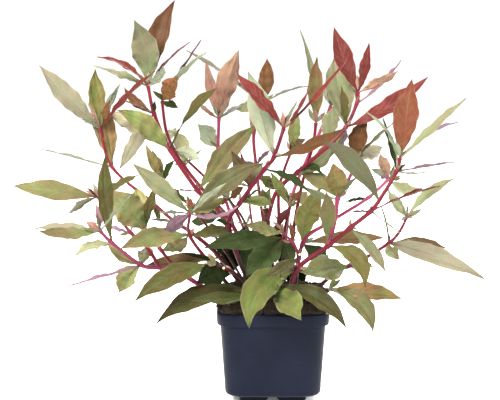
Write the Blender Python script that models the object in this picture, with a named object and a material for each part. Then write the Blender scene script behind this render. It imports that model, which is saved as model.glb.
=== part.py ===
"""A bushy red and olive water plant grown in a nine centimetre square pot.

Metres, +Z up. The origin is on the ground under the middle of the pot, +X is the viewer's
right and -Y points to the viewer. Stems and leaves are laid out by eye: each point is the
column and row where it shows on an upright drawing sheet, with its distance in millimetres
behind the pot's axis (minus is nearer). seen() turns such a point into its real place.
"""
from math import cos, pi, radians, sin, tan

import bmesh
import bpy
import numpy as np
from mathutils import Matrix, Vector
from mathutils.bvhtree import BVHTree

MM = 0.001
GAP = 0.3 * MM                      # air between pieces that touch

# The drawing sheet: where its eye is, and how it counts columns and rows
EYE_DISTANCE = 1.2
EYE_TILT = radians(8)               # looks down by this much
EYE_AIM = Vector((-0.019, 0, 0.1664))
FORWARD = Vector((0, cos(EYE_TILT), -sin(EYE_TILT)))
UPWARD = Vector((0, sin(EYE_TILT), cos(EYE_TILT)))
EYE = EYE_AIM - FORWARD * EYE_DISTANCE
SHEET_MIDDLE = (250, 200)           # column and row that the eye aims at
SHEET_PITCH = 1432                  # columns or rows across one metre held one metre away

# The pot: square, with round corners
POT_RIM = 93.5 * MM                 # outside width over the rim
POT_HEIGHT = 78 * MM
RIM_DEPTH = 10.3 * MM
WALL_TOP = 87.5 * MM                # outside width just under the rim
WALL_BOTTOM = 79.7 * MM
WALL = 1.6 * MM
MOUTH = 89.5 * MM                   # inside width at the top of the rim
CORNER = 15 * MM
ROUNDING = 1 * MM                   # of the rim's and the foot's edges
BELLY = 3 * MM                      # how far the wall curves in to the bottom
FOOT_WIDTH = 56.5 * MM
FOOT_CORNER = 8 * MM
FOOT_HEIGHT = 7 * MM
UNDER_RIM = POT_HEIGHT - RIM_DEPTH
INNER_FLOOR = FOOT_HEIGHT + 2 * MM
NOTCH_WIDTH = 9 * MM
NOTCH_REACH = 17 * MM               # how far each notch runs in from the edge of the foot
NOTCH_DEPTH = 4 * MM

# The soil: a root ball in the pot, with a cake that stands on the rim
CAKE_WIDTH = 94 * MM
CAKE_HEIGHT = 8 * MM
CAKE_CROWN = 5 * MM                 # how much higher the middle of the cake is
CAKE_RAGGED = 0.025                 # how far its edge wanders, as a share of its width
CLOD = 1.6 * MM                     # height of its lumps

FLATNESS = radians(0.5)             # faces this close to one plane are made one
LONGEST_SETBACK = 9 * MM            # of a branch from the stem that it leaves
STEM_SIDES = 5
NODE_SWELLING = 1.3                 # a stem is this much thicker where leaves grow from it
PETIOLE = 1.7 * MM                  # width of a leaf's stalk
MIDRIB = 0.5 * MM                   # half the thickness of a blade along its middle
CUPPING = 0.16                      # how far a blade's edges rise, as a share of its half width
BLADE_LIMITS = (24 * MM, 50 * MM, 78 * MM)
STATIONS = ((0, 0.5), (0, 0.35, 0.7), (0, 0.22, 0.52, 0.8), (0, 0.15, 0.38, 0.62, 0.84))
ROOT_DEPTH = 0.5 * MM               # leaves start this far below their point, each in a
ROOT_STEP = 0.35 * MM               # whorl a step lower than the one before

# Colour, and whether the pale underside is what shows on the sheet
HUES = {
    "olive": ((0.270, 0.245, 0.085), False), "moss": ((0.165, 0.185, 0.065), False),
    "green": ((0.165, 0.235, 0.080), False), "dark": ((0.070, 0.090, 0.040), False),
    "lime": ((0.420, 0.440, 0.110), False), "sage": ((0.300, 0.330, 0.190), False),
    "taupe": ((0.330, 0.250, 0.150), False), "bronze": ((0.200, 0.150, 0.060), False),
    "brown": ((0.260, 0.120, 0.055), False), "russet": ((0.095, 0.062, 0.030), False),
    "orange": ((0.400, 0.150, 0.060), False), "red": ((0.260, 0.050, 0.040), False),
    "maroon": ((0.110, 0.022, 0.030), False), "coral": ((0.520, 0.200, 0.130), True),
    "rose": ((0.480, 0.230, 0.200), True), "mauve": ((0.400, 0.240, 0.260), True),
    "pale": ((0.520, 0.500, 0.400), True),
}
STEM_COLOUR = (0.330, 0.035, 0.060)


def leaf(at, tip, wide, bow, turn, hue, name=None):
    """One leaf: the stem's point it grows from, its tip, its width in millimetres, how far its
    middle bows off the straight line in columns, how far the blade is turned away in degrees,
    its colour, and a name where it is a piece of its own."""
    return dict(at=at, tip=tip, wide=wide * MM, bow=bow, turn=radians(turn), hue=hue, name=name)


# Each stem: its thickness at the ground and at its end in millimetres, the stem and point it
# forks from where it doesn't rise from the soil, its points, and its leaves
PLANT = {
    "stem_low_left": dict(
        thick=(3.9, 2.2),
        path=[(236, 297, -34), (178, 272, -40), (160, 268, -46),
              (141, 265, -52), (112, 243, -66), (100, 231, -72)],
        leaves=[
            leaf(at=4, tip=(106, 153, -82), wide=13.4, bow=4, turn=20, hue="moss",
                 name="leaf_left_upright"),
            leaf(at=4, tip=(75, 256, -92), wide=10.1, bow=-3.5, turn=40, hue="mauve"),
            leaf(at=5, tip=(32, 229, -74), wide=10.9, bow=-2, turn=50, hue="taupe"),
            leaf(at=5, tip=(37, 231, -98), wide=11.8, bow=3.5, turn=35, hue="olive"),
            leaf(at=5, tip=(86, 222, -66), wide=7.6, bow=0, turn=30, hue="coral"),
            leaf(at=5, tip=(95, 203, -58), wide=7.6, bow=-1, turn=40, hue="mauve"),
            leaf(at=5, tip=(131, 195, -102), wide=8.4, bow=0, turn=82, hue="pale"),
            leaf(at=3, tip=(64, 287, -86), wide=10.1, bow=1, turn=78, hue="mauve"),
            leaf(at=3, tip=(119, 293, -50), wide=17.6, bow=-3, turn=20, hue="olive"),
            leaf(at=3, tip=(107, 242, -44), wide=10.1, bow=4, turn=30, hue="olive"),
            leaf(at=3, tip=(149, 246, -12), wide=12.6, bow=0, turn=20, hue="olive"),
        ]),
    "stem_mid_left": dict(
        thick=(3.0, 1.8),
        fork=("stem_low_left", 2),
        path=[(160, 268, -46), (148, 249, -42), (131, 233, -36), (113, 211, -28), (97, 197, -22)],
        leaves=[
            leaf(at=4, tip=(12, 186, -34), wide=16.8, bow=-0.5, turn=15, hue="olive",
                 name="leaf_far_left"),
            leaf(at=4, tip=(68, 214, 4), wide=8.4, bow=-1, turn=45, hue="taupe"),
            leaf(at=4, tip=(93, 183, -2), wide=5, bow=0, turn=30, hue="pale"),
            leaf(at=4, tip=(87, 188, -38), wide=4.2, bow=0, turn=60, hue="maroon"),
            leaf(at=4, tip=(140, 174, -10), wide=10.1, bow=0, turn=55, hue="moss"),
            leaf(at=2, tip=(107, 227, -14), wide=6.7, bow=0, turn=60, hue="mauve"),
        ]),
    "stem_short_left": dict(
        thick=(3.0, 2.0),
        fork=("stem_low_left", 1),
        path=[(178, 272, -40), (161, 250, -32), (146, 230, -26)],
        leaves=[
            leaf(at=2, tip=(156, 186, -40), wide=10.9, bow=3, turn=40, hue="moss"),
            leaf(at=2, tip=(111, 190, -46), wide=26.9, bow=0, turn=10, hue="olive",
                 name="leaf_left_broad"),
            leaf(at=2, tip=(136, 187, -8), wide=18.5, bow=0, turn=20, hue="green",
                 name="leaf_left_back"),
            leaf(at=1, tip=(188, 237, -18), wide=15.1, bow=-3, turn=30, hue="olive"),
        ]),
    "stem_front_left": dict(
        thick=(3.4, 2.0),
        path=[(244, 294, -20), (214, 268, -30), (190, 236, -38), (190, 213, -44)],
        leaves=[
            leaf(at=2, tip=(120, 249, -76), wide=16.8, bow=-5, turn=15, hue="olive",
                 name="leaf_left_olive"),
            leaf(at=2, tip=(234, 230, -20), wide=14.3, bow=0, turn=40, hue="moss"),
            leaf(at=3, tip=(132, 163, -58), wide=14.3, bow=0, turn=15, hue="sage"),
            leaf(at=3, tip=(264, 163, -44), wide=18.5, bow=5, turn=20, hue="olive",
                 name="leaf_centre_olive"),
            leaf(at=3, tip=(226, 183, -70), wide=8.4, bow=0, turn=50, hue="pale"),
            leaf(at=3, tip=(238, 206, -84), wide=10.1, bow=-8, turn=66, hue="mauve"),
            leaf(at=3, tip=(163, 230, -64), wide=12.6, bow=2, turn=25, hue="mauve"),
            leaf(at=3, tip=(159, 213, -34), wide=8.4, bow=0, turn=76, hue="pale"),
            leaf(at=3, tip=(191, 197, -50), wide=5, bow=0, turn=20, hue="orange"),
            leaf(at=3, tip=(225, 197, -26), wide=10.9, bow=-2, turn=25, hue="olive"),
        ]),
    "stem_far_left": dict(
        thick=(3.7, 2.0),
        path=[(250, 290, 0), (221, 258, -8), (192, 233, -8), (175, 222, -4),
              (153, 203, 2), (112, 167, 12), (100, 128, 16)],
        leaves=[
            leaf(at=6, tip=(39, 65, 8), wide=17.6, bow=2, turn=15, hue="taupe", name="leaf_upper_left"),
            leaf(at=6, tip=(95, 69, 38), wide=15.1, bow=1, turn=15, hue="moss"),
            leaf(at=6, tip=(155, 71, -22), wide=9.2, bow=2, turn=58, hue="red"),
            leaf(at=6, tip=(120, 84, 46), wide=10.1, bow=0, turn=55, hue="pale"),
            leaf(at=6, tip=(82, 119, -2), wide=5.9, bow=0, turn=50, hue="pale"),
            leaf(at=6, tip=(88, 103, 0), wide=5, bow=0, turn=50, hue="coral"),
            leaf(at=6, tip=(110, 100, 18), wide=6.7, bow=0, turn=30, hue="brown"),
            leaf(at=5, tip=(105, 101, 30), wide=13.4, bow=0, turn=20, hue="bronze"),
            leaf(at=5, tip=(90, 112, 42), wide=10.1, bow=0, turn=40, hue="bronze"),
            leaf(at=5, tip=(41, 149, 60), wide=7.6, bow=0, turn=80, hue="pale"),
            leaf(at=3, tip=(150, 219, -22), wide=4.2, bow=0, turn=40, hue="pale"),
            leaf(at=4, tip=(160, 222, 14), wide=6.7, bow=0, turn=40, hue="olive"),
            leaf(at=1, tip=(142, 267, -18), wide=12.6, bow=-2, turn=30, hue="bronze",
                 name="leaf_low_left_bronze"),
        ]),
    "stem_inner_left": dict(
        thick=(2.2, 1.7),
        path=[(254, 290, -8), (222, 246, -16), (190, 206, -18), (164, 182, -20)],
        leaves=[
            leaf(at=3, tip=(146, 144, -24), wide=7.6, bow=2, turn=20, hue="bronze"),
            leaf(at=3, tip=(152, 150, -4), wide=8.4, bow=0, turn=25, hue="moss"),
            leaf(at=3, tip=(175, 160, -36), wide=6.7, bow=2, turn=35, hue="dark"),
            leaf(at=2, tip=(166, 186, -34), wide=7.6, bow=0, turn=50, hue="dark"),
        ]),
    "stem_tall_left": dict(
        thick=(3.9, 2.4),
        path=[(258, 288, 8), (236, 245, 9), (219, 212, 10), (198, 191, 12),
              (170, 150, 14), (154, 113, 16), (148, 86, 18)],
        leaves=[
            leaf(at=6, tip=(175, 0, 34), wide=18.1, bow=5, turn=10, hue="brown", name="leaf_top_brown"),
            leaf(at=6, tip=(134, 20, 2), wide=22.7, bow=-5, turn=10, hue="sage", name="leaf_top_left"),
            leaf(at=6, tip=(163, 66, -12), wide=11.8, bow=-4, turn=50, hue="pale"),
            leaf(at=6, tip=(97, 57, -12), wide=8.4, bow=-6, turn=55, hue="red"),
            leaf(at=6, tip=(102, 68, 24), wide=10.1, bow=0, turn=52, hue="sage"),
            leaf(at=6, tip=(92, 65, 56), wide=8.4, bow=0, turn=75, hue="pale"),
            leaf(at=6, tip=(190, 42, -2), wide=6.7, bow=3, turn=82, hue="maroon"),
            leaf(at=5, tip=(118, 98, 18), wide=6.7, bow=0, turn=82, hue="coral"),
            leaf(at=5, tip=(124, 87, 32), wide=8.8, bow=4, turn=25, hue="brown"),
            leaf(at=5, tip=(155, 101, 8), wide=4.2, bow=0, turn=30, hue="dark"),
            leaf(at=4, tip=(117, 110, -14), wide=18.5, bow=-4, turn=15, hue="green",
                 name="leaf_upper_left_green"),
            leaf(at=4, tip=(107, 113, 34), wide=20.2, bow=-4, turn=30, hue="taupe",
                 name="leaf_upper_left_taupe"),
            leaf(at=5, tip=(119, 170, 10), wide=12.6, bow=0, turn=20, hue="coral"),
            leaf(at=4, tip=(217, 88, -22), wide=10.9, bow=6, turn=35, hue="moss"),
            leaf(at=3, tip=(174, 190, -8), wide=4.2, bow=0, turn=80, hue="maroon"),
            leaf(at=3, tip=(258, 124, -30), wide=18.5, bow=3, turn=15, hue="olive",
                 name="leaf_centre_inner"),
            leaf(at=3, tip=(213, 160, 34), wide=5, bow=0, turn=70, hue="maroon"),
            leaf(at=1, tip=(226, 278, -4), wide=18.5, bow=0, turn=20, hue="dark"),
        ]),
    "stem_back_tall_left": dict(
        thick=(3.5, 2.2),
        path=[(262, 284, 18), (243, 245, 22), (225, 214, 24), (204, 191, 26),
              (184, 166, 28), (174, 150, 30), (166, 130, 31), (162, 101, 32)],
        leaves=[
            leaf(at=7, tip=(178, 77, 8), wide=16.8, bow=0, turn=20, hue="brown"),
            leaf(at=7, tip=(208, 51, 34), wide=9.2, bow=3.5, turn=60, hue="pale"),
            leaf(at=7, tip=(201, 40, 66), wide=6.7, bow=0, turn=82, hue="maroon"),
            leaf(at=7, tip=(178, 108, 12), wide=7.6, bow=0, turn=30, hue="dark"),
            leaf(at=4, tip=(173, 132, 54), wide=14.3, bow=-5, turn=15, hue="sage"),
            leaf(at=5, tip=(200, 160, 10), wide=10.9, bow=2, turn=30, hue="pale"),
            leaf(at=4, tip=(202, 149, 46), wide=3.4, bow=0, turn=30, hue="pale"),
            leaf(at=1, tip=(212, 248, 74), wide=15.1, bow=-4, turn=30, hue="dark"),
            leaf(at=2, tip=(191, 222, 72), wide=15.1, bow=0, turn=30, hue="dark"),
        ]),
    "stem_back_left": dict(
        thick=(2.5, 2.0),
        path=[(266, 281, 30), (246, 234, 46), (229, 200, 56),
              (210, 182, 62), (190, 163, 68), (166, 142, 74)],
        leaves=[
            leaf(at=5, tip=(152, 137, 92), wide=8.4, bow=0, turn=40, hue="sage"),
            leaf(at=5, tip=(176, 128, 96), wide=10.1, bow=0, turn=30, hue="sage"),
            leaf(at=1, tip=(262, 252, 100), wide=16.8, bow=0, turn=20, hue="dark"),
        ]),
    "stem_back_pink": dict(
        thick=(2.9, 2.5),
        path=[(270, 280, 38), (240, 243, 56), (229, 210, 66),
              (217, 172, 76), (218, 148, 80), (219, 118, 82)],
        leaves=[
            leaf(at=5, tip=(206, 60, 94), wide=10.1, bow=2, turn=20, hue="coral"),
            leaf(at=5, tip=(239, 50, 72), wide=19.7, bow=2, turn=10, hue="rose", name="leaf_back_rose"),
            leaf(at=5, tip=(198, 100, 64), wide=5.9, bow=3, turn=50, hue="coral"),
            leaf(at=5, tip=(211, 95, 86), wide=5, bow=0, turn=30, hue="coral"),
            leaf(at=5, tip=(230, 97, 62), wide=5.9, bow=0, turn=30, hue="rose"),
            leaf(at=5, tip=(248, 102, 122), wide=6.7, bow=0, turn=50, hue="taupe"),
            leaf(at=4, tip=(198, 124, 98), wide=16.8, bow=0, turn=20, hue="pale"),
            leaf(at=1, tip=(222, 262, 108), wide=16.8, bow=-4, turn=20, hue="dark"),
        ]),
    "stem_brown_back": dict(
        thick=(2.5, 1.8),
        path=[(270, 284, 22), (246, 225, 34), (229, 199, 38)],
        leaves=[
            leaf(at=2, tip=(244, 187, 22), wide=9.2, bow=0, turn=30, hue="brown"),
            leaf(at=2, tip=(216, 205, 30), wide=6.7, bow=0, turn=30, hue="brown"),
            leaf(at=1, tip=(231, 262, 50), wide=16.8, bow=0, turn=20, hue="dark"),
        ]),
    "stem_front_arch": dict(
        thick=(3.7, 2.4),
        path=[(258, 294, -14), (239, 260, -34), (229, 224, -50), (240, 203, -57),
              (265, 169, -62), (274, 157, -64), (284, 128, -68)],
        leaves=[
            leaf(at=6, tip=(235, 72, -62), wide=14.3, bow=0, turn=45, hue="red"),
            leaf(at=6, tip=(268, 103, -50), wide=4.2, bow=0, turn=60, hue="pale"),
            leaf(at=6, tip=(309, 88, -84), wide=5.5, bow=-3, turn=58, hue="red"),
            leaf(at=6, tip=(347, 59, -88), wide=6.7, bow=-3, turn=62, hue="red"),
            leaf(at=6, tip=(297, 101, -58), wide=4.2, bow=0, turn=60, hue="pale"),
            leaf(at=5, tip=(248, 71, -30), wide=20.2, bow=0, turn=15, hue="pale",
                 name="leaf_centre_pale"),
            leaf(at=5, tip=(346, 128, -92), wide=11.8, bow=-4, turn=40, hue="brown"),
            leaf(at=4, tip=(309, 192, -78), wide=9.2, bow=3, turn=50, hue="dark"),
            leaf(at=3, tip=(262, 187, -74), wide=4.2, bow=0, turn=70, hue="dark"),
            leaf(at=3, tip=(273, 206, -60), wide=10.1, bow=3, turn=30, hue="green"),
            leaf(at=2, tip=(216, 220, -62), wide=5.9, bow=0, turn=40, hue="dark"),
        ]),
    "stem_thin_centre": dict(
        thick=(2.2, 1.7),
        path=[(266, 288, 6), (255, 240, 8), (250, 208, 10), (249, 186, 12)],
        leaves=[
            leaf(at=3, tip=(231, 150, -40), wide=10.9, bow=0, turn=15, hue="bronze"),
            leaf(at=3, tip=(263, 163, 22), wide=10.1, bow=0, turn=30, hue="sage"),
            leaf(at=3, tip=(253, 162, 4), wide=5.9, bow=0, turn=30, hue="coral"),
            leaf(at=3, tip=(240, 150, 22), wide=4.2, bow=0, turn=40, hue="red"),
            leaf(at=3, tip=(236, 184, 8), wide=4.2, bow=0, turn=50, hue="pale"),
            leaf(at=1, tip=(243, 272, -6), wide=15.1, bow=0, turn=20, hue="dark"),
        ]),
    "stem_back_centre": dict(
        thick=(2.7, 2.4),
        path=[(276, 281, 36), (274, 270, 42), (264, 225, 56),
              (256, 165, 74), (254, 132, 82), (262, 104, 86)],
        leaves=[
            leaf(at=5, tip=(186, 50, 112), wide=8.4, bow=-2, turn=60, hue="taupe"),
            leaf(at=5, tip=(267, 58, 90), wide=14.3, bow=-2, turn=10, hue="brown"),
            leaf(at=5, tip=(309, 86, 98), wide=6.7, bow=3, turn=83, hue="pale"),
            leaf(at=5, tip=(237, 110, 96), wide=11.8, bow=0, turn=30, hue="sage"),
            leaf(at=4, tip=(249, 112, 70), wide=4.2, bow=0, turn=40, hue="coral"),
            leaf(at=3, tip=(271, 149, 60), wide=7.6, bow=0, turn=60, hue="mauve"),
            leaf(at=3, tip=(243, 160, 64), wide=8.4, bow=2, turn=60, hue="mauve"),
            leaf(at=1, tip=(246, 291, 104), wide=20.2, bow=-6, turn=10, hue="dark"),
            leaf(at=1, tip=(304, 292, 100), wide=20.2, bow=6, turn=10, hue="dark"),
            leaf(at=2, tip=(268, 262, 118), wide=16.8, bow=0, turn=20, hue="dark"),
        ]),
    "stem_cut_centre": dict(
        thick=(4.2, 3.5),
        path=[(270, 292, -4), (267, 222, -6), (265, 208, -7)],
        leaves=[
            leaf(at=2, tip=(270, 188, -12), wide=7.6, bow=0, turn=20, hue="green"),
            leaf(at=2, tip=(262, 188, -26), wide=8.4, bow=0, turn=20, hue="green"),
            leaf(at=1, tip=(283, 262, -8), wide=16.8, bow=0, turn=20, hue="dark"),
        ]),
    "stem_upright_centre": dict(
        thick=(3.0, 2.0),
        path=[(281, 287, 14), (279, 222, 14), (279, 190, 14), (285, 168, 16), (291, 152, 18)],
        leaves=[
            leaf(at=4, tip=(298, 113, 22), wide=10.9, bow=0, turn=15, hue="green"),
            leaf(at=4, tip=(305, 139, 2), wide=10.1, bow=0, turn=35, hue="bronze"),
            leaf(at=2, tip=(268, 180, -2), wide=7.6, bow=0, turn=60, hue="maroon"),
            leaf(at=2, tip=(257, 176, 4), wide=10.9, bow=0, turn=30, hue="moss"),
            leaf(at=1, tip=(263, 258, 2), wide=16.8, bow=0, turn=20, hue="dark"),
        ]),
    "stem_centre_right": dict(
        thick=(2.7, 2.0),
        path=[(284, 295, -16), (284, 238, -24), (290, 207, -30)],
        leaves=[
            leaf(at=2, tip=(270, 171, -38), wide=7.6, bow=0, turn=15, hue="lime"),
            leaf(at=2, tip=(301, 190, -24), wide=7.6, bow=0, turn=40, hue="brown"),
            leaf(at=2, tip=(277, 226, -36), wide=8.4, bow=0, turn=30, hue="maroon"),
            leaf(at=2, tip=(283, 184, -20), wide=5, bow=0, turn=40, hue="olive"),
            leaf(at=1, tip=(203, 248, -96), wide=16.8, bow=-2, turn=20, hue="dark",
                 name="leaf_centre_arching"),
            leaf(at=1, tip=(246, 277, -56), wide=22.7, bow=0, turn=20, hue="dark"),
            leaf(at=1, tip=(291, 264, -33), wide=12.6, bow=0, turn=20, hue="dark"),
        ]),
    "stem_long_right": dict(
        thick=(3.4, 2.2),
        fork=("stem_cut_centre", 1),
        path=[(267, 222, -6), (277, 191, -12), (298, 172, -20), (327, 147, -26),
              (346, 127, -24), (357, 103, -20), (358, 92, -18)],
        leaves=[
            leaf(at=6, tip=(334, 27, -8), wide=16, bow=2, turn=15, hue="red", name="leaf_top_red"),
            leaf(at=6, tip=(369, 43, -32), wide=10.1, bow=-2, turn=30, hue="red"),
            leaf(at=6, tip=(398, 71, -50), wide=10.9, bow=-2, turn=45, hue="mauve"),
            leaf(at=5, tip=(401, 60, 2), wide=10.1, bow=-4, turn=74, hue="mauve"),
            leaf(at=5, tip=(353, 75, 10), wide=5, bow=0, turn=40, hue="brown"),
            leaf(at=4, tip=(428, 77, -14), wide=15.1, bow=-5, turn=25, hue="red", name="leaf_right_red"),
            leaf(at=4, tip=(340, 150, -8), wide=10.1, bow=0, turn=40, hue="mauve"),
            leaf(at=4, tip=(334, 57, 22), wide=23.9, bow=0, turn=10, hue="sage", name="leaf_top_sage"),
            leaf(at=4, tip=(341, 86, -38), wide=10.1, bow=0, turn=40, hue="moss"),
            leaf(at=3, tip=(334, 105, 8), wide=15.1, bow=0, turn=20, hue="sage"),
            leaf(at=4, tip=(296, 176, 6), wide=14.3, bow=6, turn=30, hue="sage"),
            leaf(at=2, tip=(323, 176, -34), wide=10.1, bow=6, turn=55, hue="dark"),
        ]),
    "stem_pink_right": dict(
        thick=(3.2, 2.5),
        path=[(284, 283, 32), (286, 235, 48), (292, 197, 60),
              (304, 166, 66), (320, 132, 70), (331, 106, 72)],
        leaves=[
            leaf(at=5, tip=(345, 76, 104), wide=10.1, bow=0, turn=40, hue="sage"),
            leaf(at=5, tip=(316, 78, 108), wide=10.1, bow=0, turn=40, hue="taupe"),
            leaf(at=2, tip=(316, 203, 112), wide=14.3, bow=0, turn=30, hue="moss"),
        ]),
    "stem_upright_right": dict(
        thick=(2.9, 2.4),
        path=[(291, 286, 22), (293, 235, 34), (302, 185, 40), (313, 145, 42), (316, 123, 42)],
        leaves=[
            leaf(at=4, tip=(317, 57, 30), wide=15.5, bow=0, turn=25, hue="bronze"),
            leaf(at=4, tip=(300, 30, 60), wide=8.4, bow=-4, turn=45, hue="sage"),
            leaf(at=1, tip=(283, 268, 22), wide=16.8, bow=0, turn=20, hue="dark"),
        ]),
    "stem_front_right": dict(
        thick=(3.8, 2.4),
        path=[(288, 301, -34), (297, 270, -40), (328, 246, -46), (350, 228, -56),
              (371, 211, -64), (384, 193, -64), (397, 171, -62), (400, 158, -60)],
        leaves=[
            leaf(at=7, tip=(412, 79, -54), wide=20.6, bow=0, turn=10, hue="orange",
                 name="leaf_right_orange"),
            leaf(at=7, tip=(466, 98, -84), wide=10.1, bow=-0.5, turn=50, hue="sage"),
            leaf(at=7, tip=(458, 122, -38), wide=9.2, bow=5, turn=74, hue="mauve"),
            leaf(at=6, tip=(455, 162, -72), wide=7.6, bow=0, turn=80, hue="mauve"),
            leaf(at=6, tip=(428, 172, -46), wide=5, bow=-2, turn=80, hue="pale"),
            leaf(at=6, tip=(383, 118, -22), wide=8.4, bow=0, turn=55, hue="dark"),
            leaf(at=6, tip=(362, 110, -40), wide=6.7, bow=-12, turn=70, hue="pale"),
            leaf(at=6, tip=(406, 164, -66), wide=3.4, bow=0, turn=40, hue="dark"),
            leaf(at=4, tip=(440, 186, -88), wide=8.4, bow=2, turn=80, hue="maroon"),
            leaf(at=4, tip=(409, 240, -60), wide=3.4, bow=0, turn=84, hue="pale"),
            leaf(at=4, tip=(350, 212, -66), wide=3.4, bow=0, turn=60, hue="maroon"),
            leaf(at=3, tip=(386, 273, -72), wide=10.9, bow=3, turn=30, hue="sage"),
            leaf(at=2, tip=(365, 288, -82), wide=16, bow=13, turn=20, hue="moss"),
            leaf(at=2, tip=(326, 191, -76), wide=14.3, bow=0, turn=25, hue="olive"),
            leaf(at=1, tip=(249, 328, -98), wide=26, bow=-16, turn=10, hue="lime",
                 name="leaf_front_lime"),
        ]),
    "stem_cut_right": dict(
        thick=(3.5, 1.8),
        path=[(294, 296, -20), (297, 268, -26), (299, 257, -28), (293, 243, -34), (283, 233, -40)],
        leaves=[
            leaf(at=4, tip=(245, 224, -72), wide=11.8, bow=1, turn=30, hue="olive"),
            leaf(at=2, tip=(266, 277, -104), wide=10.9, bow=1, turn=15, hue="moss"),
            leaf(at=3, tip=(290, 221, -44), wide=4.2, bow=0, turn=30, hue="orange"),
        ]),
    "stem_mid_right": dict(
        thick=(3.2, 2.2),
        path=[(293, 291, -2), (303, 243, -10), (327, 224, -16),
              (338, 217, -16), (368, 198, -14), (389, 179, -10)],
        leaves=[
            leaf(at=5, tip=(380, 154, -20), wide=10.1, bow=0, turn=15, hue="rose"),
            leaf(at=5, tip=(371, 169, 2), wide=7.6, bow=0, turn=40, hue="pale"),
            leaf(at=5, tip=(381, 176, -16), wide=6.7, bow=0, turn=40, hue="mauve"),
            leaf(at=5, tip=(423, 188, 10), wide=11.8, bow=-6, turn=30, hue="sage"),
            leaf(at=4, tip=(344, 202, 2), wide=5.9, bow=0, turn=60, hue="dark"),
            leaf(at=1, tip=(386, 238, 22), wide=12.6, bow=2, turn=25, hue="bronze"),
            leaf(at=1, tip=(321, 187, -44), wide=21, bow=5, turn=20, hue="moss",
                 name="leaf_centre_moss"),
            leaf(at=1, tip=(297, 207, 6), wide=7.6, bow=0, turn=40, hue="brown"),
            leaf(at=1, tip=(332, 262, 58), wide=16.8, bow=-3, turn=20, hue="dark"),
        ]),
    "stem_rising_right": dict(
        thick=(3.7, 2.0),
        fork=("stem_front_right", 2),
        path=[(328, 246, -46), (335, 220, -46), (338, 198, -44),
              (345, 186, -34), (352, 172, -22), (354, 160, -16)],
        leaves=[
            leaf(at=2, tip=(333, 163, -50), wide=18.5, bow=0, turn=15, hue="bronze"),
            leaf(at=2, tip=(358, 176, -62), wide=7.6, bow=0, turn=62, hue="sage"),
            leaf(at=5, tip=(367, 119, -22), wide=16, bow=2, turn=15, hue="brown"),
            leaf(at=5, tip=(382, 147, 8), wide=14.3, bow=0, turn=20, hue="taupe"),
            leaf(at=5, tip=(394, 122, -4), wide=6.7, bow=0, turn=65, hue="sage"),
            leaf(at=2, tip=(303, 186, -58), wide=7.6, bow=4, turn=40, hue="sage"),
            leaf(at=2, tip=(301, 173, -14), wide=14.3, bow=-3, turn=25, hue="olive"),
        ]),
    "stem_low_right": dict(
        thick=(3.2, 2.0),
        path=[(304, 297, -10), (335, 273, -16), (349, 266, -19), (362, 260, -22),
              (389, 243, -28), (400, 231, -30), (407, 217, -32)],
        leaves=[
            leaf(at=4, tip=(323, 141, -98), wide=16.8, bow=-16, turn=15, hue="sage",
                 name="leaf_right_long"),
            leaf(at=4, tip=(488, 281, -72), wide=16.4, bow=4, turn=20, hue="taupe",
                 name="leaf_far_right"),
            leaf(at=4, tip=(447, 248, 4), wide=10.9, bow=2, turn=25, hue="bronze"),
            leaf(at=6, tip=(456, 178, -30), wide=9.2, bow=5, turn=25, hue="sage"),
            leaf(at=6, tip=(387, 187, -44), wide=8.4, bow=3, turn=40, hue="sage"),
            leaf(at=6, tip=(393, 192, -8), wide=5.9, bow=0, turn=50, hue="sage"),
            leaf(at=6, tip=(401, 220, -42), wide=3.4, bow=0, turn=30, hue="pale"),
            leaf(at=6, tip=(413, 218, -20), wide=3.4, bow=0, turn=30, hue="pale"),
            leaf(at=2, tip=(301, 272, -98), wide=21.8, bow=0, turn=15, hue="green",
                 name="leaf_right_low"),
            leaf(at=3, tip=(373, 268, -30), wide=4.2, bow=0, turn=30, hue="olive"),
            leaf(at=4, tip=(400, 259, -66), wide=10.9, bow=-3, turn=15, hue="olive"),
        ]),
    "stem_base_right": dict(
        thick=(3.4, 2.9),
        path=[(306, 301, -26), (315, 297, -31), (328, 290, -38)],
        leaves=[
            leaf(at=2, tip=(403, 299, -46), wide=15.1, bow=3, turn=15, hue="bronze"),
            leaf(at=2, tip=(373, 333, -62), wide=16.8, bow=13, turn=20, hue="olive",
                 name="leaf_front_right_hanging"),
            leaf(at=1, tip=(294, 286, -42), wide=10.9, bow=0, turn=15, hue="russet"),
        ]),
    "stem_base_front": dict(
        thick=(3.4, 2.9),
        path=[(276, 304, -30), (276, 285, -46)],
        leaves=[
            leaf(at=1, tip=(301, 320, -94), wide=21.8, bow=0, turn=15, hue="lime",
                 name="leaf_front_centre"),
            leaf(at=1, tip=(347, 329, -88), wide=15.1, bow=11, turn=20, hue="moss",
                 name="leaf_front_right"),
        ]),
    "stem_base_left": dict(
        thick=(3.4, 2.7),
        path=[(258, 303, -28), (254, 295, -34), (251, 290, -38),
              (243, 281, -45), (232, 272, -50), (217, 265, -52)],
        leaves=[
            leaf(at=2, tip=(156, 324, -70), wide=18.5, bow=-11, turn=15, hue="moss",
                 name="leaf_front_left"),
            leaf(at=1, tip=(191, 300, -98), wide=10.9, bow=1, turn=20, hue="lime"),
            leaf(at=5, tip=(134, 302, -84), wide=17.6, bow=-8, turn=15, hue="moss",
                 name="leaf_low_left_long"),
            leaf(at=4, tip=(182, 253, -30), wide=5, bow=-3, turn=40, hue="dark"),
            leaf(at=4, tip=(197, 284, -66), wide=19.3, bow=-3, turn=20, hue="dark"),
        ]),
}


def seen(column, row, depth):
    """The real place of a point of the sheet: along the line of sight through its column and
    row, as far as the upright plane that lies depth millimetres behind the axis."""
    sight = FORWARD + Vector((1, 0, 0)) * ((column - SHEET_MIDDLE[0]) / SHEET_PITCH)
    sight += UPWARD * ((SHEET_MIDDLE[1] - row) / SHEET_PITCH)
    return EYE + sight * ((depth * MM - EYE.y) / sight.y)


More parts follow.
